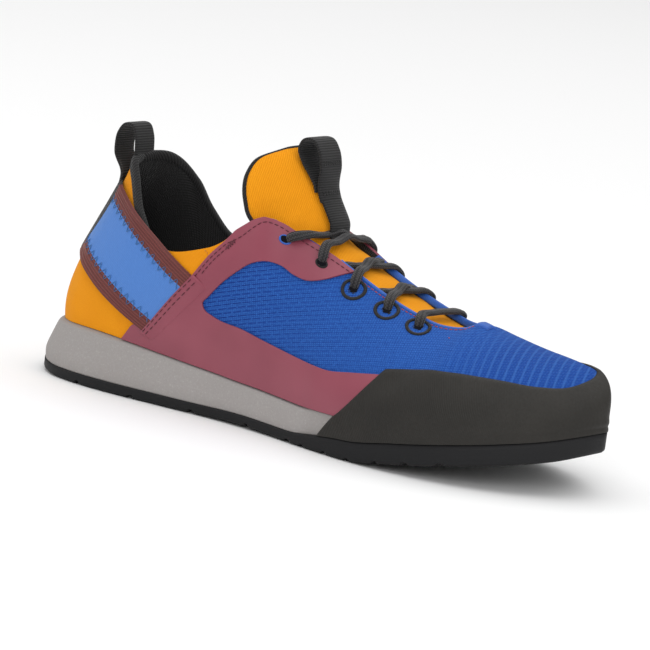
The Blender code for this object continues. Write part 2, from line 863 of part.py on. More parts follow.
def groove_paths():
    """Middle lines of the grooves under the sole."""
    reach = BALL_WIDTH * 0.60
    steps = 6
    paths = []
    for share in CROSS_GROOVES:
        x = share * LENGTH
        lean = 0.012 * LENGTH
        paths.append([(x - lean * abs(mix(-1, 1, k / steps)), mix(-reach, reach, k / steps))
                      for k in range(steps + 1)])
    for share in FOREFOOT_GROOVES:
        x = share * LENGTH
        bow = 0.055 * LENGTH
        paths.append([(x - bow * mix(-1, 1, k / 8) ** 2, mix(-reach, reach, k / 8)) for k in range(9)])
    for share in (-0.15, 0.15):
        y = share * BALL_WIDTH
        paths.append([(mix(0.10, 0.53, k / 8) * LENGTH, y) for k in range(9)])
    for share in (-0.26, 0.0, 0.26):
        y = share * BALL_WIDTH
        paths.append([(mix(0.555, 0.80, k / 8) * LENGTH, y) for k in range(9)])
    return paths


def make_outsole():
    """Black rubber with a grooved tread, which turns up at the toe."""
    edge = 0.0010
    layers = (
        (lambda x: edge * 1.2, floor_line),
        (lambda x: 0.0, lambda x: floor_line(x) + edge),
        (lambda x: 0.0, rubber_top),
    )
    piece = layered_sole("outsole", layers, "sole_rubber")
    for index, path in enumerate(groove_paths()):
        points, faces = groove(path, GROOVE_WIDTH, GROOVE_DEPTH)
        cutter = new_piece("groove_cutter_%02d" % index, points, faces, finish_material("sole_rubber"))
        cutter.hide_render = True
        cutter.display_type = "WIRE"
        cut = piece.modifiers.new("groove_%02d" % index, "BOOLEAN")
        cut.operation = "DIFFERENCE"
        cut.solver = "EXACT"
        cut.object = cutter
    return piece


def make_midsole():
    """Grey foam wedge with a flared, softly rounded side."""
    lip = 0.0010
    layers = (
        (lambda x: mix(0.0003, RAND_THICKNESS + SEAT, under_rand(x)),
         lambda x: rubber_top(x) + CLEARANCE),
        (lambda x: mix(0.0, RAND_THICKNESS + SEAT, under_rand(x)),
         lambda x: mix(rubber_top(x) + CLEARANCE, foam_top(x), 0.22)),
        (lambda x: mix(foam_inset(x) * 0.38, RAND_THICKNESS + SEAT, under_rand(x)),
         lambda x: mix(rubber_top(x), foam_top(x), 0.62)),
        (lambda x: foam_inset(x) * mix(0.84, 1.0, under_rand(x)), lambda x: foam_top(x) - lip),
        (lambda x: foam_inset(x) + lip * 0.6 * (1 - under_rand(x)), foam_top),
    )
    return layered_sole("midsole", layers, "foam_grey")


def insole_inset(x):
    """The insole lies just inside the upper's wall."""
    return foam_inset(x) + FEATHER_LEDGE + UPPER_WALL + 2.2 * CLEARANCE


def make_insole():
    layers = (
        (insole_inset, lambda x: foam_top(x) + CLEARANCE),
        (lambda x: insole_inset(x) + CLEARANCE, lambda x: foam_top(x) + CLEARANCE + INSOLE_THICKNESS),
    )
    return layered_sole("insole", layers, "insole_black", across=2)


def throat_row(around):
    """Edge, shoulder and middle of the tongue where the throat shows it."""
    depth = -(UPPER_WALL + 2 * CLEARANCE)
    marks = []
    for turn in (around, 2 - around):
        marks.append((skin(turn, 0.84, depth), skin(turn, 0.985, depth)))
    crown = crown_at(around)[0] * COLLAR_HEIGHT
    middle = (marks[0][1] + marks[1][1]) / 2 + Vector((crown * 0.28, 0, crown))
    return marks[0][0], marks[0][1], middle, marks[1][1], marks[1][0]


def root_row(around):
    """The tongue's end, under the vamp."""
    depth = -(UPPER_WALL + 2 * CLEARANCE)
    turns = ((around, 0.80), (around, 0.92), (around, 1.0), (2 - around, 0.92), (2 - around, 0.80))
    return tuple(skin(turn, rise, depth) for turn, rise in turns)


def free_row(row):
    middle_x, middle_z, shoulder_y, shoulder_x, shoulder_z, edge_y, edge_x, edge_z = row
    marks = ((edge_x, -edge_y, edge_z), (shoulder_x, -shoulder_y, shoulder_z), (middle_x, 0.0, middle_z),
             (shoulder_x, shoulder_y, shoulder_z), (edge_x, edge_y, edge_z))
    return tuple(Vector((x * LENGTH, y * BALL_WIDTH, z * COLLAR_HEIGHT)) for x, y, z in marks)


def tongue_rows():
    """Rows of five marks, from the tongue's root to its free end."""
    rows = [root_row(TONGUE_ROOT)]
    rows += [throat_row(around) for around, _ in reversed(TONGUE_CROWN)]
    rows += [free_row(row) for row in TONGUE_FREE]
    return rows


def spline_rows(rows, steps):
    """More rows between the given ones, on a smooth curve."""
    count = len(rows)
    width = len(rows[0])
    table = []
    for index, row in enumerate(rows):
        flat = [index / (count - 1)]
        for point in row:
            flat += list(point)
        table.append(tuple(flat))
    at = track(table)
    result = []
    for index in range(steps + 1):
        values = at(index / steps)
        result.append([Vector(values[3 * k:3 * k + 3]) for k in range(width)])
    return result


def tongue_surface(along_steps, across_steps):
    """Rows of points over the tongue's outer face."""
    lengthwise = spline_rows(tongue_rows(), along_steps)
    result = []
    for row in lengthwise:
        table = [(index / 4, *point) for index, point in enumerate(row)]
        at = track(table)
        result.append([Vector(at(index / across_steps)) for index in range(across_steps + 1)])
    return result


def make_tongue():
    rows = tongue_surface(16, 8)
    across = len(rows[0]) - 1
    points, faces = grid_sheet(len(rows), across + 1, lambda column, row: rows[column][across - row])
    return shell("tongue", points, faces, TONGUE_THICKNESS, "neoprene_yellow", inward=True)


def ribbon(name, marks, width, thickness, material, steps, outward=True, bow=None):
    """Webbing bent in side view; bow(share) sets its edges back where it lies on a curved piece."""
    table = [(index / (len(marks) - 1), x * LENGTH, z * COLLAR_HEIGHT) for index, (x, z) in enumerate(marks)]
    at = track(table)
    columns = 4
    points = []
    for index in range(steps + 1):
        share = index / steps
        x, z = at(share)
        ahead = Vector(at(min(share + 0.01, 1.0)))
        behind = Vector(at(max(share - 0.01, 0.0)))
        along = (ahead - behind).normalized()
        normal = Vector((along.y, 0, -along.x))
        for column in range(columns):
            offset = mix(-1, 1, column / (columns - 1))
            back = bow(share) * offset * offset if bow else 0.0
            points.append(Vector((x, offset * width / 2, z)) - normal * back)
    faces = []
    for index in range(steps):
        for column in range(columns - 1):
            corner = index * columns + column
            faces.append((corner, corner + 1, corner + columns + 1, corner + columns))
    faces_toe = sheet_normals(points, faces)[columns // 2].x > 0
    if faces_toe != outward:
        faces = [tuple(reversed(face)) for face in faces]
    return shell(name, points, faces, thickness, material)


def make_loops():
    ribbon("heel_pull_loop", HEEL_LOOP, HEEL_WEBBING_WIDTH, WEBBING_THICKNESS, "webbing_black", 16,
           outward=False)
    ribbon("tongue_pull_loop", TONGUE_LOOP, WEBBING_WIDTH, WEBBING_THICKNESS, "webbing_black", 20,
           bow=lambda share: 0.0024 * (1 - ease(0.25, 0.45, share)))


def tube(name, route, width, height, material, sides=6, up=None):
    """Flattened cord through route points; up(index) is the direction of its thin side."""
    points = []
    count = len(route)
    for index, spot in enumerate(route):
        along = (route[min(index + 1, count - 1)] - route[max(index - 1, 0)]).normalized()
        lift = up[index] if up else Vector((0, 0, 1))
        across = along.cross(lift).normalized()
        lift = across.cross(along).normalized()
        for side in range(sides):
            angle = 2 * math.pi * (side + 0.5) / sides
            points.append(spot + across * (math.cos(angle) * width / 2) + lift * (math.sin(angle) * height / 2))
    faces = [tuple(range(sides))]
    for index in range(count - 1):
        start = index * sides
        for side in range(sides):
            after = (side + 1) % sides
            faces.append((start + side, start + side + sides, start + after + sides, start + after))
    faces.append(tuple(reversed(range((count - 1) * sides, count * sides))))
    return new_piece(name, points, faces, finish_material(material))


def smooth_route(marks, steps):
    table = [(index / (len(marks) - 1), *mark) for index, mark in enumerate(marks)]
    at = track(table)
    return [Vector(at(index / steps)) for index in range(steps + 1)]


def make_binding():
    """Bound edge of the collar, from throat to throat around the heel."""
    route = []
    ups = []
    behind = [turn for turn in arounds() if turn > 2 - COLLAR_FRONT]
    before = [turn for turn in arounds() if 0 < turn < COLLAR_FRONT]
    for around in behind + before:
        edge = rib(around, 1.0)
        inward = rib_normal(around, 0.97)
        along = (rib(around + 0.005, 1.0) - rib(around - 0.005, 1.0)).normalized()
        upward = rib(around, 1.0) - rib(around, 0.95)
        upward = (upward - along * upward.dot(along)).normalized()
        route.append(edge - inward * (UPPER_WALL / 2) + upward * (BINDING_HEIGHT / 2 + 2 * CLEARANCE))
        ups.append(upward)
    return tube("collar_binding", route, UPPER_WALL * 1.7, BINDING_HEIGHT, "webbing_black", 6, ups)


def hole_place(side, index):
    """Middle of a lace hole on the upper's face, and the normal there; side is -1 or 1."""
    station, rise = LACE_HOLES[index]
    around = station if side < 0 else 2 - station
    return skin(around, rise), rib_normal(around, rise)


def edge_place(side, index):
    """Where the lace slips under the throat's edge, between a hole and the next towards the toe."""
    station = LACE_HOLES[index][0] + 0.022
    around = station if side < 0 else 2 - station
    return rib(around, 1.0)


@lru_cache(maxsize=None)
def lace_ground():
    """Close points on the tongue's face, which the laces lie on."""
    return [point for row in tongue_surface(60, 24) for point in row]


def crown_over(x, y):
    """Height of the tongue's face at a spot seen from above."""
    nearest = min(lace_ground(), key=lambda point: (point.x - x) ** 2 + (point.y - y) ** 2)
    return nearest.z


def over_run(side, low_index, high_index, lift, into_hole=False):
    """Route of a lace from a hole over the throat to the other side, nearer the collar."""
    start, start_normal = hole_place(side, low_index)
    if into_hole:
        goal, goal_normal = hole_place(-side, high_index)
    else:
        goal, goal_normal = edge_place(-side, high_index), rib_normal(LACE_HOLES[high_index][0], 0.95)
    half = LACE_THICKNESS / 2
    ringed = low_index >= FIRST_RINGED_HOLE
    seat = EYELET_HEIGHT + (3 * CLEARANCE if ringed else OVERLAY_THICKNESS + 2 * CLEARANCE)
    first = start + start_normal * (half + seat)
    edge = rib(LACE_HOLES[low_index][0] if side < 0 else 2 - LACE_HOLES[low_index][0], 1.0)
    toward = (goal - start)
    shoulder = edge + Vector((toward.x * 0.10, 0, half + seat + 0.0012))
    marks = [first, shoulder]
    for share in (0.32, 0.5, 0.68):
        spot = start.lerp(goal, share)
        ground = crown_over(spot.x, spot.y)
        height = ground + half + 3 * CLEARANCE + lift * math.sin(math.pi * share)
        marks.append(Vector((spot.x, spot.y, max(height, mix(shoulder.z, goal.z, share) + 0.002))))
    if into_hole:
        other = 2 - LACE_HOLES[high_index][0] if side < 0 else LACE_HOLES[high_index][0]
        far_edge = rib(other, 1.0)
        marks.append(far_edge + Vector((-toward.x * 0.08, 0, half + seat + 0.0012)))
        marks.append(goal + goal_normal * (half + seat))
    else:
        near = start.lerp(goal, 0.86)
        ground = crown_over(near.x, near.y)
        marks.append(Vector((near.x, near.y, ground + half + 3 * CLEARANCE)))
    return marks


def join_into(base, other, name):
    """Boolean union of two crossing laces."""
    union = base.modifiers.new(name, "BOOLEAN")
    union.operation = "UNION"
    union.solver = "EXACT"
    union.object = other
    other.hide_render = True
    other.display_type = "WIRE"


def make_laces():
    """Crossings between the rows of holes, and the bar nearest the toe."""
    steps = 11
    for low_index in (1, 2, 3):
        high_index = low_index - 1
        last = high_index == 0
        under = over_run(1, low_index, high_index, 0.0005, last)
        over = over_run(-1, low_index, high_index, 0.0022, last)
        first = tube("lace_crossing_%d" % low_index, smooth_route(under, steps), LACE_WIDTH, LACE_THICKNESS,
                     "lace_grey")
        second = tube("lace_guide_%d" % low_index, smooth_route(over, steps), LACE_WIDTH, LACE_THICKNESS,
                      "lace_grey")
        join_into(first, second, "joined")
    bar = over_run(-1, 4, 4, 0.0, True)
    tube("lace_bar", smooth_route(bar, steps), LACE_WIDTH, LACE_THICKNESS, "lace_grey")


def make_eyelets():
    """Stitched rings round the three lace holes in the mesh, on each side."""
    sides = 12
    for side, word in ((-1, "outer"), (1, "inner")):
        for index in range(FIRST_RINGED_HOLE, len(LACE_HOLES)):
            centre, normal = hole_place(side, index)
            along = normal.orthogonal().normalized()
            across = normal.cross(along)
            points = []
            base = 2 * CLEARANCE
            for radius, height in ((EYELET_HOLE, base), (EYELET_RADIUS, base),
                                   (EYELET_RADIUS, base + EYELET_HEIGHT), (EYELET_HOLE, base + EYELET_HEIGHT)):
                for step in range(sides):
                    angle = 2 * math.pi * step / sides
                    way = along * math.cos(angle) + across * math.sin(angle)
                    points.append(centre + way * radius + normal * height)
            faces = []
            for ring in range(4):
                start = ring * sides
                after_start = (ring + 1) % 4 * sides
                for step in range(sides):
                    after = (step + 1) % sides
                    faces.append((start + after, after_start + after, after_start + step, start + step))
            new_piece("eyelet_%s_%d" % (word, index + 1), points, faces, finish_material("lace_grey"))


def centre_on_origin():
    """Move the shoe so that its origin is under the middle of its box."""
    steps = 400
    spots = [outline_point(2 * index / steps) for index in range(steps)]
    middle_x = (min(spot.x for spot in spots) + max(spot.x for spot in spots)) / 2
    middle_y = (min(spot.y for spot in spots) + max(spot.y for spot in spots)) / 2
    shift = Vector((-middle_x, -middle_y, 0))
    for piece in bpy.context.scene.objects:
        if piece.type == "MESH":
            piece.data.transform(Matrix.Translation(shift))


def main():
    for old in list(bpy.data.objects):
        bpy.data.objects.remove(old, do_unlink=True)
    make_outsole()
    make_midsole()
    make_insole()
    make_upper()
    make_rand()
    make_overlays()
    make_strap()
    make_heel_patch()
    make_binding()
    make_tongue()
    make_loops()
    make_laces()
    make_eyelets()
    centre_on_origin()


if __name__ == "__main__":
    main()
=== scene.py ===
"""Looks of the approach shoe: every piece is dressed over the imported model, in metres."""

import math

import bmesh
import bpy
import numpy as np
from mathutils import Matrix, Vector
from mathutils.geometry import delaunay_2d_cdt


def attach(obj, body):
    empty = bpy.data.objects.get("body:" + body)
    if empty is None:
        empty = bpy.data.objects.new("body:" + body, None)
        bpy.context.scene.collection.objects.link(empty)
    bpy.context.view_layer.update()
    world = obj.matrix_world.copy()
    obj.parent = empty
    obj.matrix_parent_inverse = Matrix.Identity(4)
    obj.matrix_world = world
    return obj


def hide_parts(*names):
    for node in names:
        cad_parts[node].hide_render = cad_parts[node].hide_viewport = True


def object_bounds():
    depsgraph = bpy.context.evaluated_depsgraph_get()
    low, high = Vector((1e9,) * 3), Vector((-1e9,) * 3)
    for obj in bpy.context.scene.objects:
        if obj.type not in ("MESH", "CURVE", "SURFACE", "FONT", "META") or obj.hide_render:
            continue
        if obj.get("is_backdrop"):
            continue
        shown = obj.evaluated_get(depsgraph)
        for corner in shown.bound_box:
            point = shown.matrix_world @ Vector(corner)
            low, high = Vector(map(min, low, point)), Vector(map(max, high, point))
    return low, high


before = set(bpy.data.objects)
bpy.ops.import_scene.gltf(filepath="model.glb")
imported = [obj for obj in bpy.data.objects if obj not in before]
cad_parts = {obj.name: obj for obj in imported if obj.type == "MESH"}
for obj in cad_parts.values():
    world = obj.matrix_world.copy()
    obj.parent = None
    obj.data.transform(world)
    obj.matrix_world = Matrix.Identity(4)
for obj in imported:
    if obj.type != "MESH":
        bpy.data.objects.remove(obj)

# Driving sizes of the shoe, in metres
LENGTH = 0.2945
BALL_WIDTH = 0.102
COLLAR_HEIGHT = 0.108
HEEL_STACK = 0.026
TOE_SPRING = 0.0205
TOE_RUBBER = 0.0095
UPPER_WALL = 0.0024
INSOLE_THICKNESS = 0.003
MIDSOLE_FLARE = 0.0065
FEATHER_LEDGE = 0.001
RAND_THICKNESS = 0.0018
STRAP_THICKNESS = 0.0014
STRAP_STANDOFF = 0.0016
TONGUE_THICKNESS = 0.0034
WEBBING_WIDTH = 0.0175
HEEL_WEBBING_WIDTH = 0.015
WEBBING_THICKNESS = 0.0015
GROOVE_DEPTH = 0.0017
GROOVE_WIDTH = 0.0026
CLEARANCE = 0.0003
SEAT = 0.0006

# Sole outline seen from above, outer side first: along and across, as shares of LENGTH and BALL_WIDTH
OUTLINE_OUTER = (
    (0.000, 0.000), (0.007, -0.098), (0.026, -0.196), (0.059, -0.274), (0.104, -0.320), (0.178, -0.348),
    (0.290, -0.348), (0.392, -0.350), (0.494, -0.392), (0.579, -0.451), (0.664, -0.495), (0.749, -0.502),
    (0.834, -0.461), (0.900, -0.377), (0.946, -0.284), (0.980, -0.167), (0.998, -0.039),
)
OUTLINE_INNER = (
    (1.000, 0.005), (0.992, 0.069), (0.973, 0.152), (0.946, 0.245), (0.908, 0.338), (0.861, 0.417),
    (0.810, 0.466), (0.749, 0.490), (0.681, 0.480), (0.596, 0.417), (0.511, 0.338), (0.409, 0.289),
    (0.307, 0.304), (0.188, 0.333), (0.110, 0.314), (0.059, 0.270), (0.026, 0.191), (0.007, 0.098),
)

# Sole in side view: along (share of LENGTH), underside (of TOE_SPRING), rubber (of TOE_RUBBER),
# stack of rubber and foam (of HEEL_STACK)
SOLE_PROFILE = (
    (0.000, 0.060, 0.50, 0.930), (0.080, 0.000, 0.53, 0.990), (0.130, 0.000, 0.53, 1.000),
    (0.198, 0.000, 0.53, 0.970), (0.257, 0.000, 0.53, 0.910), (0.361, 0.020, 0.50, 0.785),
    (0.439, 0.045, 0.50, 0.700), (0.520, 0.012, 0.53, 0.677), (0.555, 0.000, 0.58, 0.672),
    (0.652, 0.000, 0.93, 0.685), (0.745, 0.186, 1.00, 0.641), (0.823, 0.385, 1.00, 0.600),
    (0.902, 0.600, 1.00, 0.570), (0.961, 0.790, 1.00, 0.550), (1.000, 1.000, 0.92, 0.520),
)

# Inset of the foam's upper edge from the outline: along (share of LENGTH), inset (of MIDSOLE_FLARE)
FLARE_PROFILE = (
    (0.000, 1.00), (0.095, 0.80), (0.203, 0.52), (0.380, 0.40), (0.567, 0.30),
)
RAND_START = (0.552, 0.585)

# Top ends of the ribs. Columns: around (0 heel, 1 toe), along (of LENGTH), half gap and middle (of
# BALL_WIDTH), height (of COLLAR_HEIGHT), then the rib's handles as shares of COLLAR_HEIGHT: out, forward
# and down at the top end, out and up at the sole
TOP_LINE = (
    (0.000, 0.112, 0.000, 0.000, 0.972, 0.125, 0.000, 0.250, 0.020, 0.225),
    (0.060, 0.120, 0.078, 0.000, 0.958, 0.050, 0.000, 0.260, 0.038, 0.240),
    (0.137, 0.142, 0.146, 0.000, 0.900, 0.045, 0.000, 0.240, 0.040, 0.230),
    (0.208, 0.183, 0.235, 0.000, 0.755, 0.035, 0.000, 0.190, 0.042, 0.200),
    (0.282, 0.246, 0.284, 0.000, 0.653, 0.030, 0.000, 0.160, 0.042, 0.170),
    (0.352, 0.321, 0.294, 0.000, 0.696, 0.035, 0.000, 0.180, 0.040, 0.180),
    (0.412, 0.380, 0.275, 0.000, 0.775, 0.060, 0.000, 0.180, 0.037, 0.200),
    (0.452, 0.422, 0.235, 0.000, 0.868, 0.085, 0.000, 0.150, 0.032, 0.220),
    (0.492, 0.469, 0.186, 0.000, 0.830, 0.110, 0.000, 0.110, 0.028, 0.220),
    (0.532, 0.518, 0.167, 0.000, 0.780, 0.130, 0.000, 0.110, 0.026, 0.205),
    (0.577, 0.568, 0.152, 0.000, 0.715, 0.150, 0.000, 0.110, 0.022, 0.195),
    (0.622, 0.624, 0.147, 0.000, 0.650, 0.160, 0.000, 0.092, 0.018, 0.185),
    (0.667, 0.674, 0.142, 0.000, 0.604, 0.175, 0.000, 0.074, 0.014, 0.180),
    (0.712, 0.722, 0.122, 0.005, 0.570, 0.195, 0.010, 0.055, 0.010, 0.175),
    (0.747, 0.753, 0.074, 0.015, 0.572, 0.220, 0.020, 0.028, 0.006, 0.175),
    (0.772, 0.764, 0.000, 0.020, 0.588, 0.255, 0.030, 0.000, 0.000, 0.175),
    (0.802, 0.790, 0.000, 0.039, 0.567, 0.255, 0.040, 0.000, 0.000, 0.170),
    (0.832, 0.820, 0.000, 0.054, 0.548, 0.240, 0.050, 0.000, 0.000, 0.160),
    (0.872, 0.854, 0.000, 0.069, 0.532, 0.205, 0.065, 0.000, 0.000, 0.150),
    (0.905, 0.882, 0.000, 0.078, 0.524, 0.170, 0.080, 0.000, 0.000, 0.135),
    (0.938, 0.905, 0.000, 0.083, 0.518, 0.125, 0.100, 0.000, 0.000, 0.120),
    (0.970, 0.922, 0.000, 0.088, 0.512, 0.065, 0.120, 0.000, 0.000, 0.110),
    (1.000, 0.932, 0.000, 0.093, 0.509, 0.000, 0.130, 0.000, 0.000, 0.105),
)
# How the inner side's collar differs: around, then shifts along (of LENGTH) and up (of COLLAR_HEIGHT)
INNER_COLLAR = (
    (0.000, 0.000, 0.000), (0.060, 0.000, 0.018), (0.137, 0.008, 0.072), (0.208, -0.004, 0.125),
    (0.250, -0.010, 0.085), (0.300, -0.008, 0.015), (0.352, 0.000, 0.000), (1.000, 0.000, 0.000),
)
THROAT_TIP = 0.7725

# Maroon film in side view, as shares of LENGTH and COLLAR_HEIGHT: over the collar's front and along the
# throat, round the mesh window, and its front edge under the rand
FILM_TOP = (
    (0.313, 0.580), (0.337, 0.680), (0.359, 0.751), (0.379, 0.826), (0.392, 0.858), (0.408, 0.872),
    (0.422, 0.872), (0.437, 0.864), (0.471, 0.823), (0.513, 0.782), (0.564, 0.724),
)
FILM_WINDOW = (
    (0.568, 0.716), (0.553, 0.697), (0.535, 0.673), (0.512, 0.657), (0.487, 0.668), (0.460, 0.697),
    (0.439, 0.703), (0.415, 0.683), (0.393, 0.637), (0.371, 0.580), (0.350, 0.508), (0.341, 0.474),
    (0.345, 0.453), (0.363, 0.430), (0.422, 0.406), (0.462, 0.384), (0.515, 0.360), (0.567, 0.343),
    (0.599, 0.338), (0.639, 0.352), (0.690, 0.372),
)
FILM_FRONT = (
    (0.689, 0.350), (0.668, 0.275), (0.652, 0.215), (0.640, 0.180),
)
# The film's foot along the sole and its rear edge under the strap: around, and rise up the rib
FILM_FOOT = ((0.618, 0.002), (0.222, 0.002))
FILM_REAR = ((0.229, 0.052), (0.240, 0.145), (0.275, 0.300), (0.320, 0.640))
# How far the outer collar's edge and the heel's stand over the ribs: around, and rise
RIM_RAISE = (
    (0.000, 0.030), (0.200, 0.022), (0.300, 0.000), (0.360, 0.000), (0.385, 0.020), (0.405, 0.080),
    (0.420, 0.095), (0.437, 0.055), (0.455, 0.010), (0.470, 0.000), (1.000, 0.000),
)

# Upper edge of the toe rand: around (0 heel, 1 toe) and height as a share of COLLAR_HEIGHT
RAND_TOP = (
    (0.652, 0.385), (0.712, 0.420), (0.772, 0.435), (0.832, 0.435), (0.889, 0.430), (0.930, 0.438),
    (0.962, 0.462), (1.000, 0.496),
)
RAND_TOP_INNER = (
    (0.652, 0.385), (0.712, 0.430), (0.800, 0.455), (0.860, 0.475), (0.905, 0.492), (0.950, 0.500),
    (1.000, 0.496),
)
RAND_BACK_FOOT = 0.577
RAND_BACK_TOP = 0.672
RAND_BACK_INNER = 0.690

# Heel strap: share of the way from heel to front end, upper edge and lower edge as shares of
# COLLAR_HEIGHT; the two edges end at different places around the shoe
STRAP_EDGES = (
    (0.00, 0.865, 0.560), (0.25, 0.860, 0.540), (0.50, 0.805, 0.470), (0.75, 0.705, 0.385),
    (1.00, 0.570, 0.295),
)
STRAP_UPPER_END = 0.344
STRAP_LOWER_END = 0.260

# Free end of the tongue: along (of LENGTH) and height (of COLLAR_HEIGHT) of its middle, its shoulders
# and its edges, each with a half width (of BALL_WIDTH) for shoulder and edge
TONGUE_FREE = (
    (0.4775, 0.962, 0.128, 0.452, 0.925, 0.226, 0.388, 0.845),
    (0.463, 1.015, 0.128, 0.440, 0.990, 0.234, 0.372, 0.925),
    (0.446, 1.070, 0.125, 0.427, 1.053, 0.228, 0.366, 1.000),
    (0.431, 1.115, 0.120, 0.414, 1.102, 0.206, 0.367, 1.058),
    (0.4205, 1.145, 0.104, 0.405, 1.134, 0.174, 0.374, 1.104),
    (0.4125, 1.167, 0.064, 0.4045, 1.160, 0.112, 0.3925, 1.143),
)
# Crown of the tongue inside the throat: around, then how far its middle stands over the throat's edges
# and how far forward
TONGUE_CROWN = (
    (0.482, 0.060, 0.040), (0.512, 0.034, 0.010), (0.552, 0.014, 0.000), (0.592, 0.010, 0.000),
    (0.632, 0.011, 0.000), (0.672, 0.010, 0.000), (0.712, 0.008, 0.000), (0.747, 0.004, 0.000),
)
TONGUE_ROOT = 0.817

# Heel loop and tongue loop in side view: along (of LENGTH) and height (of COLLAR_HEIGHT)
HEEL_LOOP = (
    (0.0915, 0.850), (0.0932, 0.890), (0.0890, 0.950), (0.0855, 1.015), (0.0883, 1.073), (0.0985, 1.108),
    (0.1080, 1.108), (0.1158, 1.073), (0.1190, 1.020), (0.1196, 0.968),
)
TONGUE_LOOP = (
    (0.4788, 0.962), (0.4748, 0.985), (0.4712, 1.012), (0.4690, 1.048), (0.4665, 1.105), (0.4590, 1.170),
    (0.4475, 1.205), (0.4335, 1.202), (0.4275, 1.170), (0.4360, 1.120), (0.4535, 1.065), (0.4640, 1.025),
    (0.4670, 1.000),
)

# Lace holes: around, and rise up the rib
LACE_HOLES = (
    (0.480, 0.885), (0.535, 0.880), (0.588, 0.880), (0.638, 0.890), (0.688, 0.890),
)
FIRST_RINGED_HOLE = 2

# Grooves across the sole, as shares of LENGTH
CROSS_GROOVES = (0.130, 0.237, 0.351, 0.459, 0.548)
FOREFOOT_GROOVES = (0.600, 0.650, 0.700, 0.750, 0.800, 0.850)

# The two sides, outer and inner, with the words for them in names
SIDES = ((-1, "outer"), (1, "inner"))

# What the looks add: faces and widths, in metres
OVERLAY_FACE = 0.0011
LACE_BREADTH = 0.0046
LACE_FLAT = 0.0025
LACE_UNDER = 0.0002
LACE_OVER = 0.0025
LACE_RIB = 0.0010
LACE_SINK = 0.0030
LACE_BEND = 0.0026
RING_STITCHES = 60
FRAY_HAIRS = 26
RING_INNER = 0.0044
RING_OUTER = 0.0060
HOLE_RADIUS = 0.0019
INNER_TOP_HOLE = 0.024
HEM_REACH = 0.075
HEM_RISE = 0.0021
PATCH_EDGE = 0.27
TONGUE_DEPTH = -(UPPER_WALL + 2 * CLEARANCE)
TONGUE_STRIP = (0.815, 0.980)
SLOT_LENGTH = 0.0046
SLOT_SHARE = 0.62
STRAP_BLUE_SHARE = 0.60
THROAT_EDGE_START = 0.553
THROAT_TAB = (0.778, 0.055)
TONGUE_EDGING_START = 0.52
TONGUE_CORNER_CUT = 1
TONGUE_CORNER = (0.07, 0.45)
TONGUE_PUFF = 0.0008
TONGUE_PUFFS = (0.470, 0.532, 0.585, 0.636)
TONGUE_LOOP_ROWS = (1.120, 0.995)

# Stitches: pitch, length and width, and a height over the face where it isn't 0.5 mm
FILM_STITCH = (0.0028, 0.0024, 0.00060, 0.0005)
BAR_STITCH = (0.0013, 0.0024, 0.00050, 0.0005)
HEM_STITCH = (0.0034, 0.0029, 0.00065, 0.0006)
STRAP_STITCH = (0.0046, 0.0046, 0.00040, 0.0004)
THROAT_STITCH = (0.0022, 0.0019, 0.00050)
TIP_STITCH = (0.0010, 0.0010, 0.0007)
LOOP_STITCH = (0.0020, 0.0016, 0.00045)
YELLOW_STITCH = (0.0016, 0.0014, 0.00045)

# Where the yellow heel ends and the blue knit begins: height (of COLLAR_HEIGHT), along (of LENGTH)
YELLOW_FRONT = (
    (0.00, 0.290), (0.38, 0.300), (0.50, 0.312), (0.60, 0.335), (0.70, 0.360), (0.80, 0.390), (0.90, 0.420),
)
# Seam on the yellow collar in side view, as shares of LENGTH and COLLAR_HEIGHT
YELLOW_SEAM = ((0.3235, 0.715), (0.3240, 0.700), (0.3300, 0.682), (0.3350, 0.665))

# Blue knit: stitch, the spacing and dashes of its rib lines, and how they rise and fade to the toe
KNIT_STITCH = 0.0011
RIB_LINE_PITCH = 0.0020
RIB_LINE_REAR = 0.10
RIB_LINE_RISE = 0.33
RIB_LINE_BEND = 0.875
RIB_DASH = 0.0056
RIB_FADE = (-0.03, 0.06)
TOE_RIB_PITCH = 0.0038
TOE_RIB_START = (0.075, 0.10)

# Camera: turn to the side, upwards and roll in degrees, a slight tilt of the ground, then metres and lens
CAMERA_TURN = (31.0, 9.5, 6.687)
CAMERA_TILT = 0.015
CAMERA_AIM = (-0.00164, 0.0006, 0.04754)
CAMERA_DISTANCE = 1.85
CAMERA_LENS = 224.76

# Creases: side (0 both), start and end in side view (of LENGTH and COLLAR_HEIGHT), width and depth
CREASES = (
    (-1, 0.690, 0.300, 0.765, 0.470, 0.0050, -0.0006), (-1, 0.730, 0.330, 0.800, 0.520, 0.0055, 0.0005),
    (1, 0.690, 0.300, 0.765, 0.470, 0.0050, -0.0006), (0, 0.180, 0.300, 0.215, 0.420, 0.0045, -0.0005),
    (0, 0.060, 0.420, 0.105, 0.330, 0.0050, -0.0004), (-1, 0.350, 0.420, 0.420, 0.520, 0.0060, -0.0005),
)


# Curves, and the shapes of the sole and the upper


def numbers(values):
    """Values as an array of plain numbers."""
    return np.asarray(values, dtype=float)


def walked(points):
    """Length walked along a path, at each of its points."""
    return np.concatenate([[0.0], np.cumsum(np.linalg.norm(np.diff(points, axis=0), axis=1))])


def read_off(table, stations, aims):
    """Rows of a table at other stations, straight between the given ones."""
    return np.stack([np.interp(aims, stations, column) for column in table.T], axis=-1)


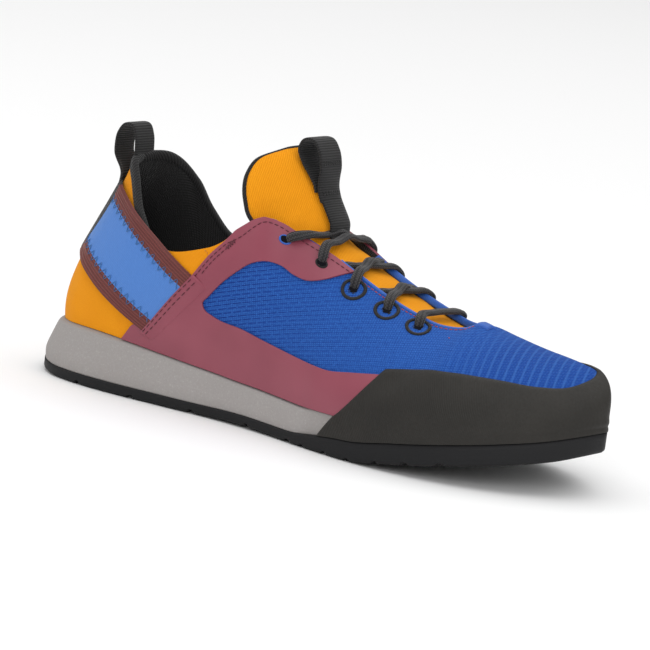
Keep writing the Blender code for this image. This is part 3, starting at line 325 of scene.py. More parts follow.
def track(rows, level=False):
    """Smooth curve through rows, whose first column is the station; level keeps flat stretches flat."""
    table = np.array(rows, dtype=float)
    stations, columns = table[:, 0], table[:, 1:]
    steps = np.diff(stations)[:, None]
    rates = np.diff(columns, axis=0) / steps
    before, after = rates[:-1], rates[1:]
    slopes = np.empty_like(columns)
    slopes[0], slopes[-1] = rates[0], rates[-1]
    if level:
        same_way = before * after > 0
        total = np.where(same_way, before + after, 1.0)
        slopes[1:-1] = np.where(same_way, 2 * before * after / total, 0.0)
    else:
        slopes[1:-1] = (before * steps[1:] + after * steps[:-1]) / (steps[:-1] + steps[1:])

    def at(where):
        where = numbers(where)
        index = np.clip(np.searchsorted(stations, where, side="right") - 1, 0, len(steps) - 1)
        step = steps[index]
        raw = ((where - stations[index]) / step[..., 0])[..., None]
        t = np.clip(raw, 0.0, 1.0)
        start = 2 * t ** 3 - 3 * t ** 2 + 1
        leave = (t ** 3 - 2 * t ** 2 + t) * step
        arrive = (t ** 3 - t ** 2) * step
        beyond = (raw - t) * step * np.where(raw < 0, slopes[index], slopes[index + 1])
        return (columns[index] * start + columns[index + 1] * (1 - start)
                + slopes[index] * leave + slopes[index + 1] * arrive + beyond)
    return at


def outline_track():
    """The sole's outline as a curve of "around", by its length along each side."""
    loop = np.array(OUTLINE_OUTER + OUTLINE_INNER) * (LENGTH, BALL_WIDTH)
    toe = len(OUTLINE_OUTER)
    closed = np.vstack([loop, loop[:1]])
    lengths = walked(closed)
    outer_length = lengths[toe]
    inner_length = lengths[-1] - outer_length
    stations = np.where(np.arange(len(lengths)) <= toe, lengths / outer_length,
                        1 + (lengths - outer_length) / inner_length)
    rows = np.column_stack([stations, closed])
    before = rows[-4:-1] - (2, 0, 0)
    after = rows[1:4] + (2, 0, 0)
    return track(np.vstack([before, rows, after]))


outline_at = outline_track()
sole_at = track(SOLE_PROFILE, level=True)
flare_at = track(FLARE_PROFILE, level=True)
top_at = track(TOP_LINE)
inner_collar_at = track(INNER_COLLAR, level=True)
rand_top_at = track(RAND_TOP)
rand_top_inner_at = track(RAND_TOP_INNER)
strap_at = track(STRAP_EDGES)
crown_at = track(TONGUE_CROWN, level=True)


def mix(a, b, share):
    return a + (b - a) * share


def spread(start, end, columns, low, high, rows):
    """Two grids of numbers: from start to end along the columns, and from low to high up the rows."""
    return np.meshgrid(np.linspace(start, end, columns), np.linspace(low, high, rows), indexing="ij")


def on_side(station, side):
    """The "around" of a station on a side, -1 for the outer and 1 for the inner."""
    return station if side < 0 else 2 - station


def rounded(value, start, reach, least):
    """1 up to a start, then down a quarter circle over the reach; least is the square of its low end."""
    return np.sqrt(np.clip(1 - ((value - start) / reach).clip(0) ** 2, least, 1))


def ease(low, high, value):
    """0 below low, 1 above high, and a soft step between."""
    t = np.clip((numbers(value) - low) / (high - low), 0.0, 1.0)
    return t * t * (3 - 2 * t)


def unit(vectors):
    return vectors / np.maximum(np.linalg.norm(vectors, axis=-1, keepdims=True), 1e-12)


def spot(x, y, z):
    """Points from three coordinates, each a number or an array."""
    return np.stack(np.broadcast_arrays(x, y, z), axis=-1).astype(float)


def station_of(around):
    """Share of the way from heel to toe, on either side."""
    turn = numbers(around) % 2.0
    return np.where(turn <= 1, turn, 2 - turn)


def side_of(around):
    """-1 on the outer side of the foot and 1 on the inner side."""
    return np.where(numbers(around) % 2.0 <= 1, -1, 1)


def outline_point(around):
    return outline_at(numbers(around) % 2.0)


def outline_normal(around):
    """Level direction out of the shoe, as x and y."""
    reach = 0.004
    turn = numbers(around) % 2.0
    along = outline_at(turn + reach) - outline_at(turn - reach)
    return unit(np.stack([along[..., 1], -along[..., 0]], axis=-1))


def floor_line(x):
    return sole_at(x / LENGTH)[..., 0] * TOE_SPRING


def rubber_top(x):
    return floor_line(x) + sole_at(x / LENGTH)[..., 1] * TOE_RUBBER


def foam_top(x):
    return floor_line(x) + sole_at(x / LENGTH)[..., 2] * HEEL_STACK


def under_rand(x):
    """0 where the foam shows and 1 where the rand covers it."""
    return ease(RAND_START[0], RAND_START[1], x / LENGTH)


def foam_inset(x):
    """How far the foam's upper edge stands in from the outline."""
    open_inset = flare_at(np.minimum(x / LENGTH, RAND_START[0]))[..., 0] * MIDSOLE_FLARE
    return mix(open_inset, RAND_THICKNESS + SEAT, under_rand(x))


def feather_point(around):
    """Where a rib leaves the sole."""
    edge = outline_point(around)
    x = edge[..., 0]
    inset = foam_inset(x) + FEATHER_LEDGE * (1 - under_rand(x))
    flat = edge - outline_normal(around) * inset[..., None]
    return spot(flat[..., 0], flat[..., 1], foam_top(x) + CLEARANCE)


def rib_ends(around):
    """The four handles of a rib."""
    station = station_of(around)
    side = side_of(around)
    along, gap, middle, height, out, forward, down, swell, lift = np.moveaxis(top_at(station), -1, 0)
    shift, rise = np.moveaxis(inner_collar_at(station), -1, 0)
    along = along + np.where(side > 0, shift, 0.0)
    height = height + np.where(side > 0, rise, 0.0)
    top = spot(along * LENGTH, (middle + side * gap) * BALL_WIDTH, height * COLLAR_HEIGHT)
    foot = feather_point(around)
    flat = outline_normal(around)
    level = spot(flat[..., 0], flat[..., 1], 0.0)
    on_ridge = ease(0.60, THROAT_TIP, station)[..., None]
    sideways = unit(level * (1 - on_ridge) + spot(0.0, side, 0.0) * on_ridge)
    reach = 0.01
    ahead = top_at(np.minimum(station + reach, 1.0))
    behind = top_at(np.minimum(station, 1.0 - reach))
    change = ahead - behind
    ridge = unit(spot(change[..., 0] * LENGTH, change[..., 2] * BALL_WIDTH, change[..., 3] * COLLAR_HEIGHT))
    handle = sideways * out[..., None] + ridge * forward[..., None] - spot(0.0, 0.0, down)
    upper = top + handle * COLLAR_HEIGHT
    lower = foot + (level * swell[..., None] + spot(0.0, 0.0, lift)) * COLLAR_HEIGHT
    return foot, lower, upper, top


def rib(around, rise):
    """Point of the upper's outer face."""
    foot, lower, upper, top = rib_ends(around)
    up = numbers(rise)[..., None]
    rest = 1 - up
    return foot * rest ** 3 + lower * (3 * rest ** 2 * up) + upper * (3 * rest * up ** 2) + top * up ** 3


def rib_normal(around, rise):
    around, rise = np.broadcast_arrays(numbers(around), numbers(rise))
    step = 0.004
    across = rib(around + step, rise) - rib(around - step, rise)
    lower = rib(around + step, rise - 0.1) - rib(around - step, rise - 0.1)
    across = np.where(np.linalg.norm(across, axis=-1, keepdims=True) < 1e-5, lower, across)
    upward = rib(around, rise + step) - rib(around, rise - step)
    return unit(np.cross(across, upward))


def crease_height(points):
    """Soft troughs and ridges of the worn-in fabric, by their place in side view."""
    x, y, z = np.moveaxis(points, -1, 0)
    total = np.zeros_like(x)
    for side, start_x, start_z, end_x, end_z, width, depth in CREASES:
        a = np.array([start_x * LENGTH, start_z * COLLAR_HEIGHT])
        b = np.array([end_x * LENGTH, end_z * COLLAR_HEIGHT])
        span = b - a
        share = ((x - a[0]) * span[0] + (z - a[1]) * span[1]) / (span @ span)
        held = np.clip(share, 0.0, 1.0)
        apart = np.hypot(x - a[0] - span[0] * held, z - a[1] - span[1] * held)
        fade = np.exp(-((held - 0.5) / 0.42) ** 4)
        there = 1.0 if side == 0 else ease(-0.004, 0.008, side * y)
        total = total + depth * np.exp(-(apart / width) ** 2) * fade * there
    return total


def skin(around, rise, out=0.0):
    """Point at a height over the upper's outer face, with its creases."""
    base = rib(around, rise)
    return base + rib_normal(around, rise) * (numbers(out) + crease_height(base))[..., None]


def rise_at_height(around, height):
    """How far up a rib a height lies; it may lie past the rib's top."""
    foot, lower, upper, top = rib_ends(around)
    height = numbers(height)
    low = np.full(np.broadcast(foot[..., 2], height).shape, -0.1)
    high = np.full(low.shape, 1.25)
    for _ in range(26):
        middle = (low + high) / 2
        rest = 1 - middle
        z = (foot[..., 2] * rest ** 3 + lower[..., 2] * 3 * rest ** 2 * middle
             + upper[..., 2] * 3 * rest * middle ** 2 + top[..., 2] * middle ** 3)
        low = np.where(z < height, middle, low)
        high = np.where(z < height, high, middle)
    return (low + high) / 2


def place_in_side_view(x, z, side):
    """The rib and rise that show at spots seen from the side; side is -1 or 1."""
    low = np.full(np.shape(x), 0.02)
    high = np.full(np.shape(x), 0.98)
    for _ in range(26):
        station = (low + high) / 2
        around = on_side(station, side)
        rise = rise_at_height(around, z)
        behind = rib(around, rise)[..., 0] < x
        low = np.where(behind, station, low)
        high = np.where(behind, high, station)
    station = (low + high) / 2
    around = on_side(station, side)
    return around, rise_at_height(around, z)


def run_through(marks, count):
    """Even steps along a smooth curve through marks."""
    marks = numbers(marks)
    lengths = walked(marks)
    at = track(np.column_stack([lengths, marks]))
    close = at(np.linspace(0, lengths[-1], count * 8))
    travelled = walked(close)
    return read_off(close, travelled, np.linspace(0, travelled[-1], count))


def side_line(marks, count):
    """Even steps along a side view line, whose marks are shares of LENGTH and COLLAR_HEIGHT."""
    return run_through(np.array(marks) * (LENGTH, COLLAR_HEIGHT), count)


def finest_stations(count, crowd=0.065):
    """Stations from heel to toe, closer together where the outline turns."""
    even = np.linspace(0, 1, count)
    return even - crowd * np.sin(2 * math.pi * even)


def shoe_middle():
    """The shift that puts the shoe's origin under the middle of its box."""
    steps = 400
    spots = outline_point(2 * np.arange(steps) / steps)
    middle = (spots.min(axis=0) + spots.max(axis=0)) / 2
    return np.array([middle[0], middle[1], 0.0])


MIDDLE = shoe_middle()


# Pieces from points and faces


def put_in_scene(thing):
    bpy.context.scene.collection.objects.link(thing)


def grid_faces(columns, rows, closed=False, flip=False):
    """Four-sided faces of a grid whose points run up each column."""
    last = columns if closed else columns - 1
    column, row = np.meshgrid(np.arange(last), np.arange(rows - 1), indexing="ij")
    after = (column + 1) % columns
    low, after_low = column * rows + row, after * rows + row
    faces = np.stack([low, after_low, after_low + 1, low + 1], axis=-1).reshape(-1, 4)
    return faces[:, ::-1] if flip else faces


def place_mesh(name, points, faces, finishes, uv=None, slots=None, angle=45):
    """A piece at the origin from points (heel at x = 0) and faces; uv is given by point, in metres."""
    mesh = bpy.data.meshes.new(name)
    points = numbers(points) - MIDDLE
    faces = [tuple(int(index) for index in face) for face in faces]
    mesh.from_pydata(points.tolist(), [], faces)
    for finish in finishes:
        mesh.materials.append(finish)
    if uv is not None:
        layer = mesh.uv_layers.new(name="along")
        corners = np.empty(len(mesh.loops), dtype=np.int32)
        mesh.loops.foreach_get("vertex_index", corners)
        layer.data.foreach_set("uv", numbers(uv)[corners].ravel())
    if slots is not None:
        mesh.polygons.foreach_set("material_index", np.asarray(slots, dtype=np.int32))
    mesh.shade_smooth()
    mesh.set_sharp_from_angle(angle=math.radians(angle))
    mesh.update()
    piece = bpy.data.objects.new(name, mesh)
    put_in_scene(piece)
    return piece


def close_sheet(top, under, closed=False, flip=False):
    """Points and faces of a wall between two grids of points, with its rim."""
    columns, rows = top.shape[:2]
    count = columns * rows
    points = np.concatenate([top.reshape(-1, 3), under.reshape(-1, 3)])
    face = grid_faces(columns, rows, closed, flip)
    back = face[:, ::-1] + count
    order = np.arange(count).reshape(columns, rows)
    borders = []
    ends = [(order[:, 0], False), (order[:, -1], True)]
    if not closed:
        ends += [(order[0], True), (order[-1], False)]
    for line, turned in ends:
        a, b = line[:-1], line[1:]
        if closed:
            a, b = line, np.roll(line, -1)
        band = np.stack([a, a + count, b + count, b], axis=-1)
        borders.append(band[:, ::-1] if turned != flip else band)
    return points, face, back, np.concatenate(borders)


def sheet_piece(name, top, under, finish, uv=None, closed=False, flip=False, angle=45):
    """A piece of one finish between two grids of points; uv is given for one of them."""
    points, face, back, rim = close_sheet(top, under, closed, flip)
    if uv is not None:
        uv = np.tile(uv.reshape(-1, 2), (2, 1))
    return place_mesh(name, points, np.concatenate([face, back, rim]), [finish], uv, angle=angle)


def surface_normals(grid):
    """Normals of a grid of points, to the side that its faces show."""
    return unit(np.cross(np.gradient(grid, axis=0), np.gradient(grid, axis=1)))


def cord_piece(name, route, ups, profile, finish, angle):
    """A cord along a route; its section is (across, up) by corner, one for all or one for each step."""
    along = unit(np.gradient(route, axis=0))
    across = unit(np.cross(along, ups))
    lift = unit(np.cross(across, along))
    if profile.ndim == 2:
        profile = np.repeat(profile[None], len(route), axis=0)
    points = route[:, None] + across[:, None] * profile[..., 0:1] + lift[:, None] * profile[..., 1:2]
    count, sides = profile.shape[:2]
    girth = np.linalg.norm(np.diff(profile[0], axis=0), axis=1).sum() * sides / (sides - 1)
    around = np.arange(sides)[None] / sides * girth
    uv = np.stack(np.broadcast_arrays(walked(route)[:, None], around), axis=-1)
    column, row = np.meshgrid(np.arange(count - 1), np.arange(sides), indexing="ij")
    here, after, beside = column * sides, (column + 1) * sides, (row + 1) % sides
    faces = np.stack([here + row, after + row, after + beside, here + beside], axis=-1)
    faces = faces.reshape(-1, 4).tolist()
    faces.append(list(range(sides)))
    faces.append(list(range((count - 1) * sides, count * sides))[::-1])
    return place_mesh(name, points.reshape(-1, 3), faces, [finish], uv.reshape(-1, 2), angle=angle)


def oval(width, height, sides, power=2.0):
    """Section of a cord, rounder at power 2 and boxier above."""
    angle = 2 * math.pi * (np.arange(sides) + 0.5) / sides
    across, up = np.cos(angle), np.sin(angle)
    return np.stack([np.sign(across) * np.abs(across) ** (2 / power) * width / 2,
                     np.sign(up) * np.abs(up) ** (2 / power) * height / 2], axis=-1)


# Finishes


class Finish:
    """A material, with the steps that its nodes are put together from."""

    def __init__(self, name, roughness, sheen=0.0, sheen_tint=(1, 1, 1), coat=0.0, coat_roughness=0.3,
                 specular=0.5):
        self.material = bpy.data.materials.new(name)
        self.material.use_nodes = True
        self.tree = self.material.node_tree
        self.shader = self.tree.nodes["Principled BSDF"]
        for socket, value in (("Roughness", roughness), ("Sheen Weight", sheen), ("Sheen Roughness", 0.4),
                              ("Sheen Tint", (*sheen_tint, 1)), ("Coat Weight", coat),
                              ("Coat Roughness", coat_roughness), ("Specular IOR Level", specular)):
            self.shader.inputs[socket].default_value = value
        self.where = self.tree.nodes.new("ShaderNodeTexCoord")
        self.relief = None

    def feed(self, socket, value):
        if isinstance(value, bpy.types.NodeSocket):
            self.tree.links.new(value, socket)
        elif isinstance(value, tuple) and len(value) == 3 and len(socket.default_value) == 4:
            socket.default_value = (*value, 1.0)
        else:
            socket.default_value = value

    def maths(self, operation, *values, clamp=False):
        step = self.tree.nodes.new("ShaderNodeMath")
        step.operation = operation
        step.use_clamp = clamp
        for socket, value in zip(step.inputs, values):
            self.feed(socket, value)
        return step.outputs[0]

    def times(self, first, second):
        return self.maths("MULTIPLY", first, second)

    def plus(self, first, second, clamp=False):
        return self.maths("ADD", first, second, clamp=clamp)

    def place(self, kind="UV"):
        """The three coordinates of a spot, by the piece's own uv or in the shoe's frame."""
        parts = self.tree.nodes.new("ShaderNodeSeparateXYZ")
        self.feed(parts.inputs[0], self.where.outputs[kind])
        return parts.outputs

    def noise(self, size, detail=2.0, roughness=0.5, kind="Object"):
        cloud = self.tree.nodes.new("ShaderNodeTexNoise")
        self.feed(cloud.inputs["Vector"], self.where.outputs[kind])
        cloud.inputs["Scale"].default_value = 1 / size
        cloud.inputs["Detail"].default_value = detail
        cloud.inputs["Roughness"].default_value = roughness
        return cloud.outputs["Fac"]

    def cells(self, size, kind="Object"):
        crumbs = self.tree.nodes.new("ShaderNodeTexVoronoi")
        self.feed(crumbs.inputs["Vector"], self.where.outputs[kind])
        crumbs.inputs["Scale"].default_value = 1 / size
        return crumbs

    def ramp(self, value, low, high, start=0.0, end=1.0):
        """A value spread from one range to another, held at its ends."""
        spread = self.tree.nodes.new("ShaderNodeMapRange")
        for socket, number in zip(spread.inputs, (value, low, high, start, end)):
            self.feed(socket, number)
        return spread.outputs[0]

    def wave(self, place, pitch):
        """Rises and falls between 0 and 1 once every pitch."""
        turn = self.times(place, 2 * math.pi / pitch)
        return self.maths("MULTIPLY_ADD", self.maths("SINE", turn), 0.5, 0.5)

    def slant(self, u, v, along, across):
        return self.plus(self.times(u, along), self.times(v, across))

    def blend(self, share, low, high):
        """Colour between two, each a colour or a socket."""
        step = self.tree.nodes.new("ShaderNodeMix")
        step.data_type = "RGBA"
        self.feed(step.inputs["Factor"], share)
        self.feed(step.inputs[6], low)
        self.feed(step.inputs[7], high)
        return step.outputs[2]

    def bump(self, height, depth, strength=1.0):
        """Adds a relief of that depth, in metres, over the one before."""
        step = self.tree.nodes.new("ShaderNodeBump")
        step.inputs["Strength"].default_value = strength
        step.inputs["Distance"].default_value = depth
        self.feed(step.inputs["Height"], height)
        if self.relief is not None:
            self.feed(step.inputs["Normal"], self.relief)
        self.relief = step.outputs[0]

    def done(self, colour, roughness=None):
        self.feed(self.shader.inputs["Base Color"], colour)
        if roughness is not None:
            self.feed(self.shader.inputs["Roughness"], roughness)
        if self.relief is not None:
            self.feed(self.shader.inputs["Normal"], self.relief)
        return self.material


def blue_knit():
    """Royal blue knit: broken dark rib lines at the quarter, fine cross ribs over the toe, and painted shade
    that darkens the toe.
    """
    f = Finish("blue_knit", 0.82, sheen=0.10, sheen_tint=(0.3, 0.5, 1.0), specular=0.15)
    u, v, _ = f.place("UV")
    x, y, _ = f.place("Object")
    loops = f.times(f.wave(u, KNIT_STITCH), f.wave(v, KNIT_STITCH * 0.8))
    speckle = f.noise(0.0007, detail=1.5)
    row = f.maths("DIVIDE", v, RIB_LINE_PITCH)
    level = f.maths("FRACT", row)
    shifted = f.maths("MULTIPLY_ADD", f.maths("FLOOR", row), 0.5, f.maths("DIVIDE", u, RIB_DASH))
    dash = f.ramp(f.maths("FRACT", shifted), 0.10, 0.24)
    line = f.maths("SUBTRACT", 1.0, f.ramp(f.maths("ABSOLUTE", f.maths("SUBTRACT", level, 0.5)), 0.06, 0.16))
    rear = f.ramp(x, RIB_FADE[0], RIB_FADE[1], 1.0, 0.12)
    dark = f.times(f.times(line, dash), rear)
    cross = f.wave(f.slant(x, y, 1.0, 0.32), TOE_RIB_PITCH)
    toe = f.ramp(x, TOE_RIB_START[0], TOE_RIB_START[1])
    ridge = f.times(f.ramp(cross, 0.62, 0.98), toe)
    share = f.plus(f.times(loops, 0.45), f.times(speckle, 0.75), clamp=True)
    colour = f.blend(share, (0.002, 0.030, 0.215), (0.036, 0.155, 0.540))
    colour = f.blend(f.times(dark, 0.85), colour, (0.003, 0.020, 0.190))
    # painted shade: the knit is blended darker over the toe, standing in for the shade on the toe top
    colour = f.blend(f.times(toe, 0.55), colour, (0.004, 0.040, 0.250))
    colour = f.blend(f.times(ridge, 0.40), colour, (0.050, 0.170, 0.520))
    f.bump(f.maths("SUBTRACT", loops, f.times(dark, 0.8)), 0.00022, 0.8)
    f.bump(ridge, 0.0003, 0.7)
    f.bump(f.noise(0.0006), 0.0001, 0.6)
    return f.done(colour)


def yellow_stretch(name="yellow_stretch", ribs=0.35, pitch=0.00085):
    """Yellow orange stretch fabric with fine slanting ribs."""
    f = Finish(name, 0.88, sheen=0.12, sheen_tint=(1.0, 0.75, 0.3), specular=0.12)
    u, v, _ = f.place("UV")
    ridge = f.wave(f.slant(u, v, 0.62, 0.78), pitch)
    fibre = f.noise(0.0005, detail=3.0)
    cloud = f.noise(0.018, detail=2.0)
    share = f.plus(f.times(ridge, ribs), f.times(fibre, 0.5), clamp=True)
    colour = f.blend(share, (0.740, 0.235, 0.004), (0.940, 0.395, 0.014))
    colour = f.blend(f.ramp(cloud, 0.35, 0.7, 0.0, 0.22), colour, (0.680, 0.215, 0.005))
    f.bump(ridge, 0.00018, ribs)
    f.bump(fibre, 0.00008, 0.5)
    return f.done(colour)


def maroon_film():
    """Smooth maroon film with a satin face and a fine grain."""
    f = Finish("maroon_film", 0.46, coat=0.12, coat_roughness=0.35, specular=0.45)
    grain = f.noise(0.0007, detail=3.0)
    cloud = f.noise(0.03, detail=2.0)
    colour = f.blend(f.ramp(cloud, 0.3, 0.7), (0.238, 0.043, 0.070), (0.288, 0.058, 0.089))
    f.bump(grain, 0.00006, 0.5)
    return f.done(colour, f.ramp(grain, 0.2, 0.8, 0.42, 0.54))


def strap_satin():
    """Light blue woven strap."""
    f = Finish("strap_satin", 0.55, sheen=0.2, sheen_tint=(0.7, 0.85, 1.0), specular=0.4)
    u, v, _ = f.place("UV")
    weave = f.times(f.wave(u, 0.0007), f.wave(v, 0.0007))
    fibre = f.noise(0.0008, detail=2.0)
    share = f.plus(f.times(weave, 0.4), f.times(fibre, 0.5), clamp=True)
    colour = f.blend(share, (0.055, 0.175, 0.520), (0.090, 0.255, 0.660))
    f.bump(weave, 0.0001, 0.5)
    return f.done(colour)


def strap_binding():
    """Brown maroon ribbed elastic along the strap's edges."""
    f = Finish("strap_binding", 0.72, sheen=0.25, sheen_tint=(1.0, 0.7, 0.6), specular=0.3)
    u, v, _ = f.place("UV")
    rib_line = f.wave(v, 0.0011)
    across = f.wave(u, 0.0008)
    share = f.maths("MULTIPLY_ADD", rib_line, 0.6, f.times(f.noise(0.0006), 0.4))
    colour = f.blend(share, (0.085, 0.022, 0.020), (0.200, 0.050, 0.045))
    f.bump(rib_line, 0.00025, 0.8)
    f.bump(across, 0.0001, 0.4)
    return f.done(colour)


def black_webbing(name, along=0.0, across=0.0012, diagonal=0.0, depth=0.0003, tone=0.013):
    """Black webbing or twill, by the pitch of its ribs along, across and on the slant."""
    f = Finish(name, 0.78, sheen=0.15, specular=0.3)
    u, v, _ = f.place("UV")
    height = f.noise(0.0006)
    parts = []
    if along:
        parts.append(f.wave(v, along))
    if across:
        parts.append(f.wave(u, across))
    if diagonal:
        parts.append(f.wave(f.slant(u, v, 0.7, 0.7), diagonal))
    for part in parts:
        f.bump(part, depth, 0.9)
    ridge = parts[0]
    share = f.maths("MULTIPLY_ADD", ridge, 0.7, f.times(height, 0.3))
    colour = f.blend(share, (tone * 0.45, tone * 0.45, tone * 0.48), (tone * 2.0, tone * 1.9, tone * 1.9))
    return f.done(colour)


def braided_lace():
    """Dark grey braid, ribbed lengthwise with pale flecks."""
    f = Finish("braided_lace", 0.75, sheen=0.2, specular=0.35)
    u, v, _ = f.place("UV")
    strand = f.wave(v, LACE_RIB)
    left = f.wave(f.slant(u, v, 1.0, 1.1), 0.0011)
    right = f.wave(f.slant(u, v, 1.0, -1.1), 0.0011)
    plait = f.times(left, right)
    fleck = f.ramp(f.cells(0.0007, "UV").outputs["Distance"], 0.0, 0.35, 1.0, 0.0)
    share = f.plus(f.times(strand, 0.45), f.times(plait, 0.6), clamp=True)
    colour = f.blend(share, (0.006, 0.006, 0.007), (0.060, 0.056, 0.058))
    colour = f.blend(f.times(f.times(fleck, strand), 0.5), colour, (0.16, 0.15, 0.15))
    f.bump(strand, 0.0003, 0.9)
    f.bump(plait, 0.0002, 0.8)
    return f.done(colour)


def rand_rubber():
    """Charcoal rubber with fine slanting lines that fade out at the toe."""
    f = Finish("rand_rubber", 0.60, specular=0.28)
    x, _, z = f.place("Object")
    line = f.wave(f.slant(x, z, 0.88, 0.48), 0.0009)
    behind_toe = f.ramp(x, 0.085, 0.125, 1.0, 0.15)
    grain = f.noise(0.0012, detail=4.0, roughness=0.6)
    cloud = f.noise(0.02, detail=2.0)
    shade = f.times(line, behind_toe)
    colour = f.blend(f.ramp(cloud, 0.3, 0.7), (0.0180, 0.0164, 0.0140), (0.0240, 0.0216, 0.0185))
    colour = f.blend(f.times(shade, 0.30), colour, (0.013, 0.012, 0.010))
    f.bump(shade, 0.00016, 0.6)
    f.bump(grain, 0.00010, 0.5)
    return f.done(colour, f.ramp(grain, 0.3, 0.7, 0.52, 0.68))


def sole_rubber():
    """Black outsole rubber with a dull grain."""
    f = Finish("sole_rubber", 0.62, specular=0.25)
    grain = f.noise(0.0009, detail=4.0, roughness=0.6)
    colour = f.blend(grain, (0.006, 0.006, 0.007), (0.013, 0.013, 0.014))
    f.bump(grain, 0.00012, 0.6)
    return f.done(colour, f.ramp(grain, 0.3, 0.7, 0.52, 0.70))


def grey_foam():
    """Moulded grey foam with a fine speckle and a soft skin."""
    f = Finish("grey_foam", 0.72, specular=0.3)
    fine = f.noise(0.0009, detail=3.0, roughness=0.7)
    cell = f.cells(0.0016).outputs["Distance"]
    cloud = f.noise(0.04, detail=1.0)
    colour = f.blend(fine, (0.295, 0.276, 0.266), (0.385, 0.363, 0.352))
    colour = f.blend(f.ramp(fine, 0.60, 0.74, 0.0, 0.35), colour, (0.60, 0.58, 0.57))
    colour = f.blend(f.ramp(cell, 0.0, 0.16, 0.28, 0.0), colour, (0.20, 0.185, 0.18))
    colour = f.blend(f.ramp(cloud, 0.35, 0.65, 0.0, 0.10), colour, (0.27, 0.25, 0.24))
    f.bump(fine, 0.00012, 0.5)
    f.bump(cell, 0.00008, 0.3)
    return f.done(colour)


def thread(name, colour):
    """Twisted sewing thread."""
    f = Finish(name, 0.6, sheen=0.2, specular=0.4)
    twist = f.noise(0.0005, detail=2.0)
    dark = tuple(part * 0.6 for part in colour)
    f.bump(twist, 0.0001, 0.6)
    return f.done(f.blend(twist, dark, colour))


def pale_floor():
    f = Finish("pale_floor", 0.9, specular=0.05)
    return f.done((0.94, 0.94, 0.94))


def knit_piping():
    """Smooth satin blue of the throat's rolled edge."""
    f = Finish("knit_piping", 0.5, sheen=0.15, sheen_tint=(0.5, 0.7, 1.0), specular=0.4)
    u, v, _ = f.place("UV")
    fold = f.wave(f.slant(u, v, 1.0, 0.6), 0.0009)
    share = f.maths("MULTIPLY_ADD", fold, 0.4, f.times(f.noise(0.0015), 0.5))
    f.bump(fold, 0.0001, 0.5)
    return f.done(f.blend(share, (0.012, 0.070, 0.360), (0.035, 0.150, 0.560)))


def painted_hole_shadow():
    """Near black painted shade inside the lace holes and slots, standing in for their shadow."""
    f = Finish("painted_hole_shadow", 0.95, specular=0.1)
    fibre = f.noise(0.0005, detail=3.0)
    f.bump(fibre, 0.0003, 0.8)
    return f.done(f.blend(fibre, (0.002, 0.002, 0.003), (0.012, 0.012, 0.016)))


# Stitches


def stitch_tree():
    """Geometry Nodes: a rounded stitch on every point, along its "way" and with its back to its "lie"."""
    tree = bpy.data.node_groups.new("stitches", "GeometryNodeTree")
    for name, way, kind in (("Points", "INPUT", "Geometry"), ("Fullness", "INPUT", "Float"),
                            ("Thread", "INPUT", "Material"), ("Stitches", "OUTPUT", "Geometry")):
        tree.interface.new_socket(name, in_out=way, socket_type="NodeSocket" + kind)
    start = tree.nodes.new("NodeGroupInput")
    end = tree.nodes.new("NodeGroupOutput")
    bead = tree.nodes.new("GeometryNodeMeshUVSphere")
    bead.inputs["Segments"].default_value = 6
    bead.inputs["Rings"].default_value = 4
    bead.inputs["Radius"].default_value = 0.5
    marks = {}
    for mark in ("way", "lie", "size"):
        marks[mark] = tree.nodes.new("GeometryNodeInputNamedAttribute")
        marks[mark].data_type = "FLOAT_VECTOR"
        marks[mark].inputs["Name"].default_value = mark
    lengthwise = tree.nodes.new("FunctionNodeAlignRotationToVector")
    lengthwise.axis = "X"
    flat = tree.nodes.new("FunctionNodeAlignRotationToVector")
    flat.axis = "Z"
    flat.pivot_axis = "X"
    scaled = tree.nodes.new("ShaderNodeVectorMath")
    scaled.operation = "SCALE"
    sewn = tree.nodes.new("GeometryNodeInstanceOnPoints")
    whole = tree.nodes.new("GeometryNodeRealizeInstances")
    smooth = tree.nodes.new("GeometryNodeSetShadeSmooth")
    dressed = tree.nodes.new("GeometryNodeSetMaterial")
    for source, result, target, entry in (
            (marks["way"], "Attribute", lengthwise, "Vector"),
            (lengthwise, "Rotation", flat, "Rotation"),
            (marks["lie"], "Attribute", flat, "Vector"),
            (marks["size"], "Attribute", scaled, "Vector"),
            (start, "Fullness", scaled, "Scale"),
            (start, "Points", sewn, "Points"),
            (bead, "Mesh", sewn, "Instance"),
            (flat, "Rotation", sewn, "Rotation"),
            (scaled, "Vector", sewn, "Scale"),
            (sewn, "Instances", whole, "Geometry"),
            (whole, "Geometry", smooth, "Geometry"),
            (smooth, "Geometry", dressed, "Geometry"),
            (start, "Thread", dressed, "Material"),
            (dressed, "Geometry", end, "Stitches")):
        tree.links.new(source.outputs[result], target.inputs[entry])
    return tree


def sew(name, tree, runs, thread_finish, fullness=1.0):
    """One piece from runs of stitches; a run is points, ways, lies and sizes."""
    points, ways, lies, sizes = (np.concatenate([run[part] for run in runs]) for part in range(4))
    mesh = bpy.data.meshes.new(name + "_points")
    mesh.from_pydata((points - MIDDLE).tolist(), [], [])
    for mark, values in (("way", ways), ("lie", lies), ("size", sizes)):
        layer = mesh.attributes.new(mark, "FLOAT_VECTOR", "POINT")
        layer.data.foreach_set("vector", np.asarray(values, dtype=np.float32).ravel())
    seeds = bpy.data.objects.new(name + "_points", mesh)
    put_in_scene(seeds)
    maker = seeds.modifiers.new("stitches", "NODES")
    maker.node_group = tree
    sockets = {item.name: item.identifier for item in tree.interface.items_tree if item.in_out == "INPUT"}
    maker[sockets["Fullness"]] = fullness
    maker[sockets["Thread"]] = thread_finish
    seeds.update_tag()
    graph = bpy.context.evaluated_depsgraph_get()
    result = bpy.data.meshes.new_from_object(seeds.evaluated_get(graph), depsgraph=graph)
    result.name = name
    bpy.data.objects.remove(seeds)
    piece = bpy.data.objects.new(name, result)
    put_in_scene(piece)
    return piece


